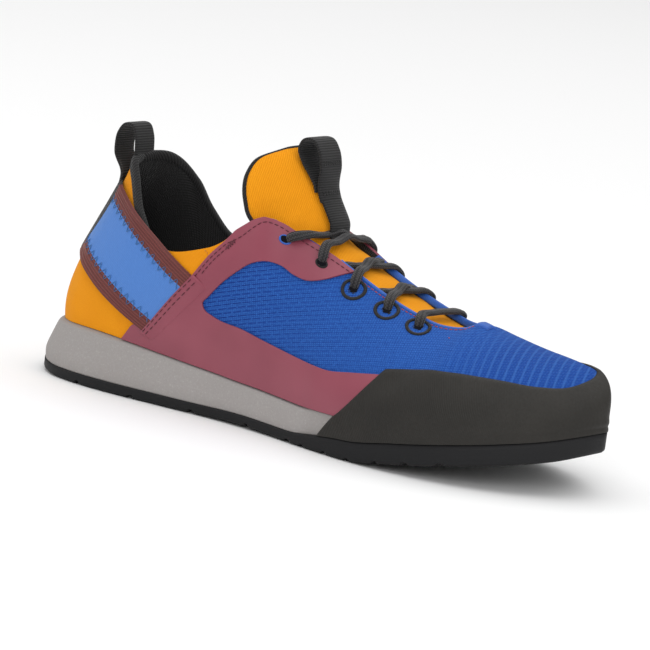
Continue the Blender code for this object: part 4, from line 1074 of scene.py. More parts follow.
def even_path(points, normals, pitch):
    """The path and its normals at even steps of about the pitch."""
    lengths = walked(points)
    count = max(int(round(lengths[-1] / pitch)), 1)
    even = read_off(np.column_stack([points, normals]), lengths, np.linspace(0, lengths[-1], count + 1))
    return even[:, :3], unit(even[:, 3:])


def straight_run(points, normals, pitch, length, width, height=0.0005, lift=0.0001):
    """Stitches end to end along a path."""
    marks, backs = even_path(points, normals, pitch)
    middles = (marks[1:] + marks[:-1]) / 2
    lies = unit(backs[1:] + backs[:-1])
    ways = unit(marks[1:] - marks[:-1])
    sizes = np.tile([length, width, height], (len(middles), 1))
    return middles + lies * lift, ways, lies, sizes


def zigzag_run(points, normals, pitch, reach, width, height=0.0005, lift=0.0001):
    """Stitches that swing to either side of a path, once every pitch."""
    marks, backs = even_path(points, normals, pitch / 2)
    across = unit(np.cross(backs, np.gradient(marks, axis=0)))
    swing = np.where(np.arange(len(marks)) % 2 == 0, 0.5, -0.5)[:, None] * reach
    corners = marks + across * swing
    legs = corners[1:] - corners[:-1]
    lies = unit(backs[1:] + backs[:-1])
    sizes = np.column_stack([np.linalg.norm(legs, axis=1) * 1.08, np.full(len(legs), width),
                             np.full(len(legs), height)])
    return (corners[1:] + corners[:-1]) / 2 + lies * lift, unit(legs), lies, sizes


# Pieces of the shoe


def on_upper(around, rise, out):
    """A path on the upper with its normals."""
    around, rise = np.broadcast_arrays(around, rise)
    return skin(around, rise, out), rib_normal(around, rise)


def side_path(marks, side, out, count=60):
    """A path on the upper through marks in side view."""
    line = side_line(marks, count)
    around, rise = place_in_side_view(line[:, 0], line[:, 1], side)
    return on_upper(around, np.minimum(rise, 0.99), out)


def knit_uv(points):
    """Lengthwise and upward places of the blue knit, whose rib lines rise towards the toe."""
    x, z = points[..., 0], points[..., 2]
    reach = x - RIB_LINE_REAR
    return np.stack([x + 0.25 * z, z - RIB_LINE_RISE * reach + RIB_LINE_BEND * reach ** 2], axis=-1)


rim_raise_at = track(RIM_RAISE, level=True)


def rim_rise(around):
    """How far up the rib the upper's edge stands; the inner side is raised at the heel alone."""
    station = station_of(around)
    raise_by = rim_raise_at(station)[..., 0]
    return 1 + np.where((side_of(around) > 0) & (station > 0.30), 0.0, raise_by)


yellow_front_at = track(YELLOW_FRONT)


def make_upper(yellow, blue, lining):
    """Yellow heel and collar, blue vamp and quarter, with a black lining."""
    half = finest_stations(190)
    turns = np.concatenate([half, 2 - half[-2:0:-1]])
    rows = 46
    around, rise = np.meshgrid(turns, np.linspace(0, 1, rows), indexing="ij")
    rise = rise * rim_rise(around)
    top = skin(around, rise)
    under = skin(around, rise, -UPPER_WALL)
    points, face, back, _ = close_sheet(top, under, closed=True)
    columns = len(turns)
    count = columns * rows
    order = np.arange(count).reshape(columns, rows)
    joined = np.arange(2 * count)
    ridge = station_of(turns) >= THROAT_TIP - 1e-6
    for column in range(len(half), columns):
        if ridge[column]:
            mirror = columns - column
            for layer in (0, count):
                joined[order[column, -1] + layer] = order[mirror, -1] + layer
    rims = []
    for border in (order[:, 0], order[:, -1]):
        after = np.roll(border, -1)
        rims.append(np.stack([border, border + count, after + count, after], axis=-1))
    open_edge = ~(ridge & np.roll(ridge, -1))
    foot_rim, top_rim = rims[0], rims[1][open_edge][:, ::-1]
    faces = joined[np.concatenate([face, back, foot_rim, top_rim])]
    middles = top.reshape(-1, 3)[face].mean(axis=1)
    front = yellow_front_at(middles[:, 2] / COLLAR_HEIGHT)[:, 0]
    is_blue = middles[:, 0] / LENGTH > front
    slots = np.concatenate([np.where(is_blue, 1, 0), np.full(len(back) + len(foot_rim) + len(top_rim), 2)])
    blue_uv = knit_uv(top)
    arc = station_of(around) * LENGTH
    yellow_uv = np.stack([arc, rise * 0.11], axis=-1)
    take_blue = (top[..., 0] / LENGTH > yellow_front_at(top[..., 2] / COLLAR_HEIGHT)[..., 0])[..., None]
    uv = np.where(take_blue, blue_uv, yellow_uv).reshape(-1, 2)
    uv = np.concatenate([uv, yellow_uv.reshape(-1, 2)])
    piece = place_mesh("upper_knit", points, faces, [yellow, blue, lining], uv, slots, angle=60)
    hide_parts("upper")
    return [piece]


def inside_ring(spots, ring):
    """Which flat spots lie inside a ring of flat points."""
    hit = np.zeros(len(spots), dtype=bool)
    for a, b in zip(ring, np.roll(ring, -1, axis=0)):
        crosses = (a[1] > spots[:, 1]) != (b[1] > spots[:, 1])
        rise = b[1] - a[1] if b[1] != a[1] else 1e-12
        hit ^= crosses & (spots[:, 0] < a[0] + (b[0] - a[0]) * (spots[:, 1] - a[1]) / rise)
    return hit


def overlay_ring(side):
    """Outline of the quarter's film as places on the upper."""
    runs = []
    for marks, count in ((FILM_TOP, 100), (FILM_WINDOW, 200), (FILM_FRONT, 24)):
        line = side_line(marks, count)
        around, rise = place_in_side_view(line[:, 0], line[:, 1], side)
        rim = rim_rise(around)
        runs.append(np.column_stack([around, np.clip(rise, 0.002, np.where(rim > 1.001, rim, 0.996))]))
    for marks, count in ((FILM_FOOT, 130), (FILM_REAR, 60)):
        table = np.array(marks)
        share = np.linspace(0, 1, len(table))
        line = read_off(table, share, np.linspace(0, 1, count))
        runs.append(np.column_stack([on_side(line[:, 0], side), line[:, 1]]))
    return np.concatenate(runs)


def make_overlays(film):
    """Maroon film over the quarters, round the mesh window and up to the lace slots."""
    weight = 0.35
    step = 0.0055
    pieces = []
    for side, word in SIDES:
        ring = overlay_ring(side) * (1, weight)
        low, high = ring.min(axis=0), ring.max(axis=0)
        across, up = np.meshgrid(np.arange(low[0], high[0], step), np.arange(low[1], high[1], step),
                                 indexing="ij")
        spots = np.column_stack([across.ravel(), up.ravel()])
        spots = spots[inside_ring(spots, ring)]
        apart = np.linalg.norm(spots[:, None] - ring[None], axis=2).min(axis=1)
        spots = spots[apart > step * 0.7]
        if side > 0:
            ring = ring[::-1]
        flat = [Vector(place) for place in np.concatenate([ring, spots])]
        edges = [(index, (index + 1) % len(ring)) for index in range(len(ring))]
        flat, _, triangles, _, _, _ = delaunay_2d_cdt(flat, edges, [], 0, 1e-7)
        flat = np.array([tuple(place) for place in flat])
        triangles = np.array([tuple(triangle) for triangle in triangles])
        triangles = triangles[inside_ring(flat[triangles].mean(axis=1), ring)]
        around, rise = flat[:, 0], flat[:, 1] / weight
        top = skin(around, rise, OVERLAY_FACE)
        under = skin(around, rise, 0.0001)
        count = len(flat)
        used = {}
        for a, b, c in triangles.tolist():
            for edge in ((a, b), (b, c), (c, a)):
                used[edge] = True
        rim = [(b, a, a + count, b + count) for a, b in used if (b, a) not in used]
        faces = triangles.tolist() + (triangles[:, ::-1] + count).tolist() + rim
        uv = np.tile(np.column_stack([around * LENGTH, rise * 0.11]), (2, 1))
        piece = place_mesh("overlay_film_" + word, np.concatenate([top, under]), faces, [film], uv)
        rounding = piece.modifiers.new("rounded edge", "BEVEL")
        rounding.width = 0.00030
        rounding.segments = 2
        rounding.limit_method = "ANGLE"
        rounding.angle_limit = math.radians(55)
        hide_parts("quarter_overlay_" + word)
        pieces.append(piece)
    return pieces


def rand_grid(columns, rows):
    """Inner face of the rand: level 0 at the rubber sole, 1 at its upper edge."""
    even = np.linspace(0, 1, columns)
    share = even + 0.07 * np.sin(2 * math.pi * even)
    level = np.linspace(0, 1, rows)
    share, level = np.meshgrid(share, level, indexing="ij")
    start = mix(RAND_BACK_FOOT, RAND_BACK_TOP, level)
    end = 2 - mix(RAND_BACK_FOOT, RAND_BACK_INNER, level)
    around = mix(start, end, share)
    foot = outline_point(around)
    low = rubber_top(foot[..., 0]) + CLEARANCE
    seam = feather_point(around)
    station = station_of(around)
    edge = np.where(side_of(around) < 0, rand_top_at(station)[..., 0], rand_top_inner_at(station)[..., 0])
    top = rise_at_height(around, edge * COLLAR_HEIGHT)
    wall_share = 0.26
    flat = foot - outline_normal(around) * RAND_THICKNESS
    wall = spot(flat[..., 0], flat[..., 1], mix(low, seam[..., 2], np.minimum(level / wall_share, 1.0)))
    climb = np.maximum((level - wall_share) / (1 - wall_share), 0.0)
    cover = skin(around, top * climb, 0.0002)
    grid = np.where((level < wall_share)[..., None], wall, cover)
    return grid, share, level, around


def soften(grid, rounds):
    """Rounds off a grid's bends up its columns, and keeps its two borders."""
    for _ in range(rounds):
        grid = grid.copy()
        grid[:, 1:-1] = grid[:, 1:-1] * 0.5 + (grid[:, 2:] + grid[:, :-2]) * 0.25
    return grid


def make_rand(rubber):
    """Charcoal rubber band around the toe with a thin upper edge."""
    grid, share, level, around = rand_grid(300, 44)
    normals = surface_normals(grid)
    lip = rounded(level, 0.955, 0.045, 0.04)
    ends = rounded(np.abs(share - 0.5), 0.492, 0.008, 0.06)
    thin = mix(1.0, 0.62, ease(0.45, 0.95, level))
    at_toe = ease(0.86, 0.97, station_of(around))
    fold = 0.0007 * np.exp(-((level - 0.13) / 0.025) ** 2) * at_toe
    depth = (RAND_THICKNESS + 0.0003) * thin * lip * ends - fold
    top = soften(grid + normals * depth[..., None], 3)
    piece = sheet_piece("rand_band", top, grid, rubber, angle=50)
    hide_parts("toe_rand")
    return [piece]


def strap_place(turn, level, out):
    """Spot on the strap: turn runs from -1 at one front end to 1 at the other, level from its lower edge."""
    share = np.abs(turn)
    edges = strap_at(share)
    station = mix(STRAP_LOWER_END, STRAP_UPPER_END, level) * share
    height = mix(edges[..., 1], edges[..., 0], level) * COLLAR_HEIGHT
    around = np.where(turn < 0, station, (2 - station) % 2.0)
    stand = STRAP_STANDOFF * np.sin(math.pi * share)
    rise = rise_at_height(around, height)
    normal = rib_normal(around, np.minimum(rise, 0.97))
    return rib(around, rise) + normal * (out + stand)[..., None], normal


def strap_depth(level):
    """Thickness of the strap across its width: ribbed at both edges and flat between."""
    edge = np.abs(level - 0.5) * 2
    bound = ease(STRAP_BLUE_SHARE - 0.02, STRAP_BLUE_SHARE + 0.02, edge)
    ribs = 0.00016 * np.cos(2 * math.pi * (edge - STRAP_BLUE_SHARE) / (1 - STRAP_BLUE_SHARE) * 3.5)
    return (STRAP_THICKNESS * mix(0.82, 1.0, bound) + ribs * bound) * rounded(edge, 0.955, 0.045, 0.05)


def make_strap_hem(film):
    """Turned edge of the film over the strap's front ends."""
    pieces = []
    for side, word in SIDES:
        over, level = spread(0, 1, 22, -0.035, 1.03, 70)
        under, normal = hem_place(side, over, level, 0.0)
        edge = np.sqrt(np.clip(1 - (1 - over / 0.07).clip(0) ** 2, 0.0, 1))
        ends = rounded(np.abs(level - 0.5), 0.505, 0.03, 0.0)
        rise = mix(HEM_RISE, OVERLAY_FACE + 0.0001, ease(0.25, 1.0, over))
        rise = rise * mix(0.45, 1.0, edge) * mix(0.45, 1.0, ends)
        top = under + normal * rise[..., None]
        uv = np.stack([over * 0.008, level * 0.03], axis=-1)
        piece = sheet_piece("strap_hem_" + word, top, under, film, uv, flip=side > 0, angle=50)
        pieces.append(piece)
    return pieces


def hem_place(side, over, level, out):
    """Spot beside the strap's front end: over runs from just behind the end to the hem's front edge."""
    share = 0.992 + over * HEM_REACH
    edges = strap_at(share)
    station = mix(STRAP_LOWER_END, STRAP_UPPER_END, level) * share
    height = mix(edges[..., 1], edges[..., 0], level) * COLLAR_HEIGHT
    around = on_side(station, side)
    rise = np.minimum(rise_at_height(around, height), 0.99)
    return skin(around, rise, out), rib_normal(around, rise)


def make_strap(satin, binding, lining, patch):
    """Strap round the heel, bound at both edges, and the black patch behind."""
    pieces = []
    for sign, word in SIDES:
        share, level = spread(PATCH_EDGE, 1.0, 120, 0, 1, 61)
        under, normal = strap_place(sign * share, level, 0.0002 + 0 * level)
        top = under + normal * strap_depth(level)[..., None]
        points, face, back, rim = close_sheet(top, under, flip=sign > 0)
        middle = level.reshape(-1)[face].mean(axis=1)
        bound = np.abs(middle - 0.5) * 2 > STRAP_BLUE_SHARE
        slots = np.concatenate([np.where(bound, 1, 0), np.full(len(back), 2), np.full(len(rim), 1)])
        uv = np.stack([share * 0.085, level * 0.032], axis=-1).reshape(-1, 2)
        piece = place_mesh("strap_band_" + word, points, np.concatenate([face, back, rim]),
                           [satin, binding, lining], np.tile(uv, (2, 1)), slots, angle=60)
        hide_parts("heel_strap_" + word)
        pieces.append(piece)
    turn, level = spread(-PATCH_EDGE, PATCH_EDGE, 80, 0, 1, 41)
    under, normal = strap_place(-turn, level, 0.0001 + 0 * level)
    round_edge = rounded(np.abs(level - 0.5) * 2, 0.94, 0.06, 0.05)
    top = under + normal * (STRAP_THICKNESS * 0.95 * round_edge)[..., None]
    uv = np.stack([turn * 0.085, level * 0.032], axis=-1)
    piece = sheet_piece("heel_patch_cloth", top, under, patch, uv)
    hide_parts("heel_patch")
    return pieces + [piece]


def strap_line(sign, start, end, level_start, level_end, count=90):
    """A path over the strap's face with its normals."""
    share = np.linspace(start, end, count)
    level = np.linspace(level_start, level_end, count)
    base, normal = strap_place(sign * share, level, 0.0002 + 0 * level)
    return base + normal * strap_depth(level)[:, None], normal


def make_binding(twill):
    """Black twill binding over the collar's edge, which slips under the film at its front ends."""
    around = np.linspace(-0.415, 0.405, 320)
    rim = rim_rise(around)
    edge = rib(around, rim)
    normal = rib_normal(around, 0.97)
    along = unit(np.gradient(edge, axis=0))
    upward = edge - rib(around, rim - 0.05)
    upward = unit(upward - along * (upward * along).sum(axis=1, keepdims=True))
    station = station_of(around)
    outer = side_of(around) < 0
    sink = np.where(outer, ease(0.20, 0.31, station), ease(0.40, 0.43, station))
    tall = mix(0.0052, 0.0034, ease(0.06, 0.28, station))
    thick = mix(UPPER_WALL + 0.0014, UPPER_WALL + 0.0010, ease(0.10, 0.28, station))
    crest = mix(0.0011, -0.0024, sink)
    route = edge - normal * (UPPER_WALL / 2 + 0.0009 * sink)[:, None] + upward * (crest - tall / 2)[:, None]
    section = oval(1.0, 1.0, 20, 2.6)
    profile = section[None] * np.stack([thick, tall], axis=-1)[:, None]
    piece = cord_piece("collar_twill", route, upward, profile, twill, 70)
    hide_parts("collar_binding")
    return [piece]


def throat_row(around):
    """Edge, shoulder and middle of the tongue where the throat shows it."""
    low_outer, high_outer = skin(around, 0.84, TONGUE_DEPTH), skin(around, 0.985, TONGUE_DEPTH)
    low_inner, high_inner = skin(2 - around, 0.84, TONGUE_DEPTH), skin(2 - around, 0.985, TONGUE_DEPTH)
    crown, forward = crown_at(around) * (COLLAR_HEIGHT, LENGTH)
    middle = (high_outer + high_inner) / 2 + np.array([crown * 0.28 + forward, 0, crown])
    return [low_outer, high_outer, middle, high_inner, low_inner]


def root_row(around):
    """The tongue's end, under the vamp."""
    places = ((around, 0.80), (around, 0.92), (around, 1.0), (2 - around, 0.92), (2 - around, 0.80))
    return [skin(turn, rise, TONGUE_DEPTH) for turn, rise in places]


def free_row(row):
    middle_x, middle_z, shoulder_y, shoulder_x, shoulder_z, edge_y, edge_x, edge_z = row
    marks = ((edge_x, -edge_y, edge_z), (shoulder_x, -shoulder_y, shoulder_z), (middle_x, 0.0, middle_z),
             (shoulder_x, shoulder_y, shoulder_z), (edge_x, edge_y, edge_z))
    return [np.array(mark) * (LENGTH, BALL_WIDTH, COLLAR_HEIGHT) for mark in marks]


def tongue_grid(along_steps, across_steps):
    """The tongue's outer face, from root to free end and from its outer to its inner edge."""
    rows = [root_row(TONGUE_ROOT)]
    rows += [throat_row(mark[0]) for mark in reversed(TONGUE_CROWN)]
    rows += [free_row(row) for row in TONGUE_FREE]
    marks = np.array(rows)
    lengthwise = track(np.column_stack([np.linspace(0, 1, len(marks)), marks.reshape(len(marks), -1)]))
    long_rows = lengthwise(np.linspace(0, 1, along_steps + 1)).reshape(-1, 5, 3)
    crosswise = track(np.column_stack([np.linspace(0, 1, 5), long_rows.transpose(1, 0, 2).reshape(5, -1)]))
    grid = crosswise(np.linspace(0, 1, across_steps + 1)).reshape(across_steps + 1, -1, 3)
    return round_corners(grid.transpose(1, 0, 2), *TONGUE_CORNER)


def round_corners(grid, reach_up, reach_across):
    """Rounds the two corners of the tongue's free end."""
    rows, columns = grid.shape[:2]
    up, across = spread(0, 1, rows, -1, 1, columns)
    high = ((up - 1 + reach_up) / reach_up).clip(0, 1)
    wide = ((np.abs(across) - 1 + reach_across) / reach_across).clip(0, 1)
    pull = np.maximum(high, wide) / np.hypot(high, wide).clip(1e-9)
    pull = np.where((high > 0) & (wide > 0), pull, 1.0)
    row = np.where(high > 0, 1 - reach_up + high * pull * reach_up, up) * (rows - 1)
    column = np.where(wide > 0, np.sign(across) * (1 - reach_across + wide * pull * reach_across), across)
    column = (column + 1) / 2 * (columns - 1)
    low_row = np.minimum(row.astype(int), rows - 2)
    low_column = np.minimum(column.astype(int), columns - 2)
    row_share, column_share = (row - low_row)[..., None], (column - low_column)[..., None]
    near = mix(grid[low_row, low_column], grid[low_row + 1, low_column], row_share)
    far = mix(grid[low_row, low_column + 1], grid[low_row + 1, low_column + 1], row_share)
    return mix(near, far, column_share)


def puffed(grid):
    """The tongue swells a little between the laces and is pressed down under them."""
    normals = surface_normals(grid[:, ::-1])[:, ::-1]
    x = grid[..., 0] / LENGTH
    swell = np.zeros_like(x)
    for place in TONGUE_PUFFS:
        swell = swell + np.exp(-((x - place) / 0.016) ** 2)
    across = np.linspace(-1, 1, grid.shape[1])[None]
    return grid + normals * (TONGUE_PUFF * swell * (1 - across ** 2))[..., None]


def make_tongue(yellow, lining, edging):
    """Padded yellow tongue with a thin black edge binding."""
    grid = puffed(tongue_grid(150, 72))[:, ::-1]
    rows, columns = grid.shape[:2]
    steady_row = np.arange(rows).clip(0, rows - 12)
    steady_column = np.arange(columns).clip(4, columns - 5)
    normals = surface_normals(grid)[steady_row][:, steady_column]
    across = np.linspace(-1, 1, columns)[None]
    up = np.linspace(0, 1, rows)[:, None]
    depth = TONGUE_THICKNESS * rounded(np.abs(across), 0.94, 0.06, 0.12) * rounded(up, 0.985, 0.015, 0.12)
    inset = (TONGUE_THICKNESS - depth) / 2
    top = grid - normals * inset[..., None]
    under = grid - normals * (inset + depth)[..., None]
    points, face, back, rim = close_sheet(top, under)
    slots = np.concatenate([np.zeros(len(face)), np.ones(len(back) + len(rim))])
    spine = grid[:, columns // 2]
    lengths = np.cumsum(np.linalg.norm(np.gradient(spine, axis=0), axis=1))
    breadth = np.linalg.norm(grid - spine[:, None], axis=2) * np.sign(across)
    uv = np.stack([np.broadcast_to(lengths[:, None], breadth.shape), breadth], axis=-1).reshape(-1, 2)
    piece = place_mesh("tongue_pad", points, np.concatenate([face, back, rim]), [yellow, lining],
                       np.tile(uv, (2, 1)), slots, angle=60)
    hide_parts("tongue")
    first = int(rows * TONGUE_EDGING_START)
    middle = grid - normals * (TONGUE_THICKNESS / 2)
    cut = TONGUE_CORNER_CUT
    left = np.concatenate([middle[first:-cut, 0], middle[-1, cut:-cut], middle[first:-cut, -1][::-1]])
    backs = np.concatenate([normals[first:-cut, 0], normals[-1, cut:-cut], normals[first:-cut, -1][::-1]])
    lengths = walked(left)
    both = read_off(np.column_stack([left, backs * 0.001]), lengths, np.linspace(0, lengths[-1], 70))
    both = run_through(both, 220)
    section = oval(0.0022, TONGUE_THICKNESS * 1.04, 14, 2.6)
    edge = cord_piece("tongue_edging", both[:, :3], unit(both[:, 3:]), section, edging, 70)
    return [piece, edge]


def webbing(name, marks, width, thickness, finish, node, outside, bow, steps=90):
    """Folded webbing in side view; outside is 1 where its outer face is to the right of its run."""
    line = side_line(marks, steps)
    along = unit(np.gradient(line, axis=0))
    out = np.stack([along[:, 1], -along[:, 0]], axis=-1) * outside
    middle = line + out * thickness / 2
    route = spot(middle[:, 0], 0.0, middle[:, 1])
    ups = spot(out[:, 0], 0.0, out[:, 1])
    section = oval(width, thickness * 0.94, 40, 7.0)
    profile = np.repeat(section[None], steps, axis=0)
    share = np.linspace(0, 1, steps)[:, None]
    profile[..., 1] -= bow(share) * (profile[..., 0] / (width / 2)) ** 2
    piece = cord_piece(name, route, ups, profile, finish, 60)
    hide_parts(node)
    return piece


def make_tongue_strip(finish):
    """Webbing that runs from the tongue's loop down its middle and under the laces."""
    grid = puffed(tongue_grid(150, 72))
    normals = surface_normals(grid[:, ::-1])[:, ::-1]
    middle = grid.shape[1] // 2
    line, backs = grid[:, middle], normals[:, middle]
    shown = (line[:, 2] > TONGUE_STRIP[0] * COLLAR_HEIGHT) & (line[:, 2] < TONGUE_STRIP[1] * COLLAR_HEIGHT)
    shown &= line[:, 0] > 0.45 * LENGTH
    both = run_through(np.column_stack([line[shown], backs[shown] * 0.001])[::2], 70)
    route = both[:, :3] + unit(both[:, 3:]) * (WEBBING_THICKNESS * 0.5)
    section = oval(WEBBING_WIDTH * 0.93, WEBBING_THICKNESS * 0.9, 40, 7.0)
    profile = np.repeat(section[None], len(route), axis=0)
    profile[..., 1] -= 0.0012 * (profile[..., 0] / (WEBBING_WIDTH / 2)) ** 2
    piece = cord_piece("tongue_strip", route, unit(both[:, 3:]), profile, finish, 60)
    return [piece]


def make_loops(finish):
    heel = webbing("heel_loop_webbing", HEEL_LOOP, HEEL_WEBBING_WIDTH, WEBBING_THICKNESS, finish,
                   "heel_pull_loop", -1, lambda share: 0.0034 * (1 - ease(0.10, 0.32, share)))
    tongue = webbing("tongue_loop_webbing", TONGUE_LOOP, WEBBING_WIDTH, WEBBING_THICKNESS, finish,
                     "tongue_pull_loop", 1, lambda share: 0.0012 * (1 - ease(0.12, 0.30, share)), 120)
    return [heel, tongue]


def weld(piece, apart=1e-6):
    """Joins points at one place, as at the poles of a cap."""
    mesh = bmesh.new()
    mesh.from_mesh(piece.data)
    bmesh.ops.remove_doubles(mesh, verts=mesh.verts, dist=apart)
    bmesh.ops.dissolve_degenerate(mesh, edges=mesh.edges, dist=apart)
    mesh.to_mesh(piece.data)
    mesh.free()


def sole_body(name, turns, rings, finish, across, under, over, node, angle=40):
    """A sole layer: rings from bottom to top round its side, and a fine cap under and over it."""
    columns = len(turns)
    last = columns // 2
    sides = np.asarray(rings).transpose(1, 0, 2)
    rows = sides.shape[1]
    points = [sides.reshape(-1, 3)]
    faces = [grid_faces(columns, rows, closed=True)]
    share = np.linspace(0, 1, across + 1)[None, :, None]
    start = columns * rows
    for row, height, upward in ((0, under, False), (rows - 1, over, True)):
        outer = sides[:last + 1, row][:, None]
        inner = np.concatenate([sides[:1, row], sides[:last - 1:-1, row]])[:last + 1][:, None]
        cap = outer * (1 - share) + inner * share
        cap[..., 2] = height(cap[..., 0], cap[..., 1])
        points.append(cap.reshape(-1, 3))
        faces.append(grid_faces(last + 1, across + 1, flip=not upward) + start)
        start += cap.shape[0] * cap.shape[1]
    piece = place_mesh(name, np.concatenate(points), np.concatenate(faces), [finish], angle=angle)
    weld(piece)
    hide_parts(node)
    return piece


def side_rings(turns, layers, count):
    """Rings round a layer's side, on a smooth curve through the given insets and heights."""
    edge = outline_point(turns)
    normal = outline_normal(turns)
    rows = []
    for index, (inset, height) in enumerate(layers):
        held = inset(edge[:, 0]) + 0 * edge[:, 0]
        place = edge - normal * held[:, None]
        rows.append(np.concatenate([[index / (len(layers) - 1)], held, height(place[:, 0])]))
    at = track(np.array(rows), level=True)
    rings = []
    for share in np.linspace(0, 1, count):
        values = at(share)
        place = edge - normal * values[:len(edge), None]
        rings.append(spot(place[:, 0], place[:, 1], values[len(edge):]))
    return rings


def sole_turns(count):
    half = finest_stations(count, 0.07)
    return np.concatenate([half, 2 - half[-2:0:-1]])


def groove_depth(x, y):
    """Depth of the tread's grooves at a spot under the sole."""
    reach = BALL_WIDTH * 0.60
    nearest = np.full(np.shape(x), 1.0)
    for share in CROSS_GROOVES:
        line = share * LENGTH - 0.012 * LENGTH * np.abs(y / reach)
        nearest = np.minimum(nearest, np.abs(x - line))
    for share in FOREFOOT_GROOVES:
        line = share * LENGTH - 0.055 * LENGTH * (y / reach) ** 2
        nearest = np.minimum(nearest, np.abs(x - line))
    for shares, start, end in (((-0.15, 0.15), 0.10, 0.53), ((-0.26, 0.0, 0.26), 0.555, 0.80)):
        for share in shares:
            held = np.clip(x, start * LENGTH, end * LENGTH)
            nearest = np.minimum(nearest, np.hypot(y - share * BALL_WIDTH, x - held))
    return GROOVE_DEPTH * (1 - ease(GROOVE_WIDTH / 2 - 0.0004, GROOVE_WIDTH / 2 + 0.0003, nearest))


def make_outsole(rubber):
    """Black rubber with a grooved tread, notched where the grooves leave its side."""
    turns = sole_turns(420)
    edge = outline_point(turns)
    normal = outline_normal(turns)
    rings = []
    for inset, lift in ((0.0012, 0.0), (0.0003, 0.0006), (0.0, 0.0013)):
        place = edge - normal * inset
        base = floor_line(place[:, 0])
        depth = groove_depth(place[:, 0], place[:, 1])
        rings.append(spot(place[:, 0], place[:, 1], base + np.maximum(depth, lift)))
    for share in (0.35, 0.7, 1.0):
        low = rings[2][:, 2]
        rings.append(spot(edge[:, 0], edge[:, 1], mix(low, rubber_top(edge[:, 0]), share)))
    return [sole_body("tread_rubber", turns, rings, rubber, 84,
                      lambda x, y: floor_line(x) + groove_depth(x, y), lambda x, y: rubber_top(x),
                      "outsole")]


def make_midsole(foam):
    """Grey foam wedge with a flared, softly rounded side."""
    lip = 0.0010
    hidden = RAND_THICKNESS + SEAT
    layers = (
        (lambda x: mix(0.0003, hidden, under_rand(x)), lambda x: rubber_top(x) + 0.0001),
        (lambda x: mix(0.0, hidden, under_rand(x)), lambda x: mix(rubber_top(x), foam_top(x), 0.22)),
        (lambda x: mix(foam_inset(x) * 0.38, hidden, under_rand(x)),
         lambda x: mix(rubber_top(x), foam_top(x), 0.62)),
        (lambda x: foam_inset(x) * mix(0.84, 1.0, under_rand(x)), lambda x: foam_top(x) - lip),
        (lambda x: foam_inset(x) + lip * 1.2 * (1 - under_rand(x)), foam_top),
    )
    turns = sole_turns(240)
    return [sole_body("foam_wedge", turns, side_rings(turns, layers, 25), foam, 8,
                      lambda x, y: rubber_top(x) + 0.0001, lambda x, y: foam_top(x), "midsole")]


def make_insole(cloth):
    """Black insole, its top edge drawn in a little."""
    def inset(x):
        return foam_inset(x) + FEATHER_LEDGE + UPPER_WALL + 2 * CLEARANCE

    base = INSOLE_THICKNESS + CLEARANCE
    layers = (
        (inset, lambda x: foam_top(x) + CLEARANCE),
        (inset, lambda x: foam_top(x) + base * 0.8),
        (lambda x: inset(x) + 0.0008, lambda x: foam_top(x) + base),
    )
    turns = sole_turns(160)
    return [sole_body("insole_cloth", turns, side_rings(turns, layers, 9), cloth, 20,
                      lambda x, y: foam_top(x) + CLEARANCE, lambda x, y: foam_top(x) + base,
                      "insole")]


def station_for(side, index):
    """How far around a lace hole lies; the inner top hole sits further forward than the outer one."""
    station = LACE_HOLES[index][0] + (INNER_TOP_HOLE if side > 0 and index == 0 else 0.0)
    return on_side(station, side)


def hole_place(side, index, out=0.0):
    """Middle of a lace hole on the upper, and the normal there."""
    rise = LACE_HOLES[index][1]
    around = np.array(station_for(side, index))
    return skin(around, np.array(rise), out), rib_normal(around, rise)


def near_hole(side, index, reach, turn, out):
    """Spots on the upper round a lace hole, by distance and angle (0 is towards the toe)."""
    rise = LACE_HOLES[index][1]
    around = np.array(station_for(side, index))
    step = 0.002
    along = (rib(around + step, rise) - rib(around - step, rise)) / (2 * step)
    upward = (rib(around, rise + step) - rib(around, rise - step)) / (2 * step)
    normal = rib_normal(around, rise)
    ahead = unit(along) * (1 if side < 0 else -1)
    across = np.cross(normal, ahead)
    wanted = ahead * np.cos(turn)[..., None] + across * np.sin(turn)[..., None]
    wanted = wanted * reach[..., None]
    basis = np.column_stack([along, upward])
    shift = wanted.reshape(-1, 3) @ np.linalg.pinv(basis).T
    turns = around + shift[:, 0].reshape(wanted.shape[:-1])
    rises = np.minimum(rise + shift[:, 1].reshape(wanted.shape[:-1]), 0.995)
    return skin(turns, rises, out), rib_normal(turns, rises)


class TongueGround:
    """Height of the tongue's face under a lace."""

    def __init__(self):
        self.spots = puffed(tongue_grid(150, 60)).reshape(-1, 3)

    def __call__(self, x, y):
        nearest = np.argmin((self.spots[:, 0] - x) ** 2 + (self.spots[:, 1] - y) ** 2)
        return self.spots[nearest, 2]


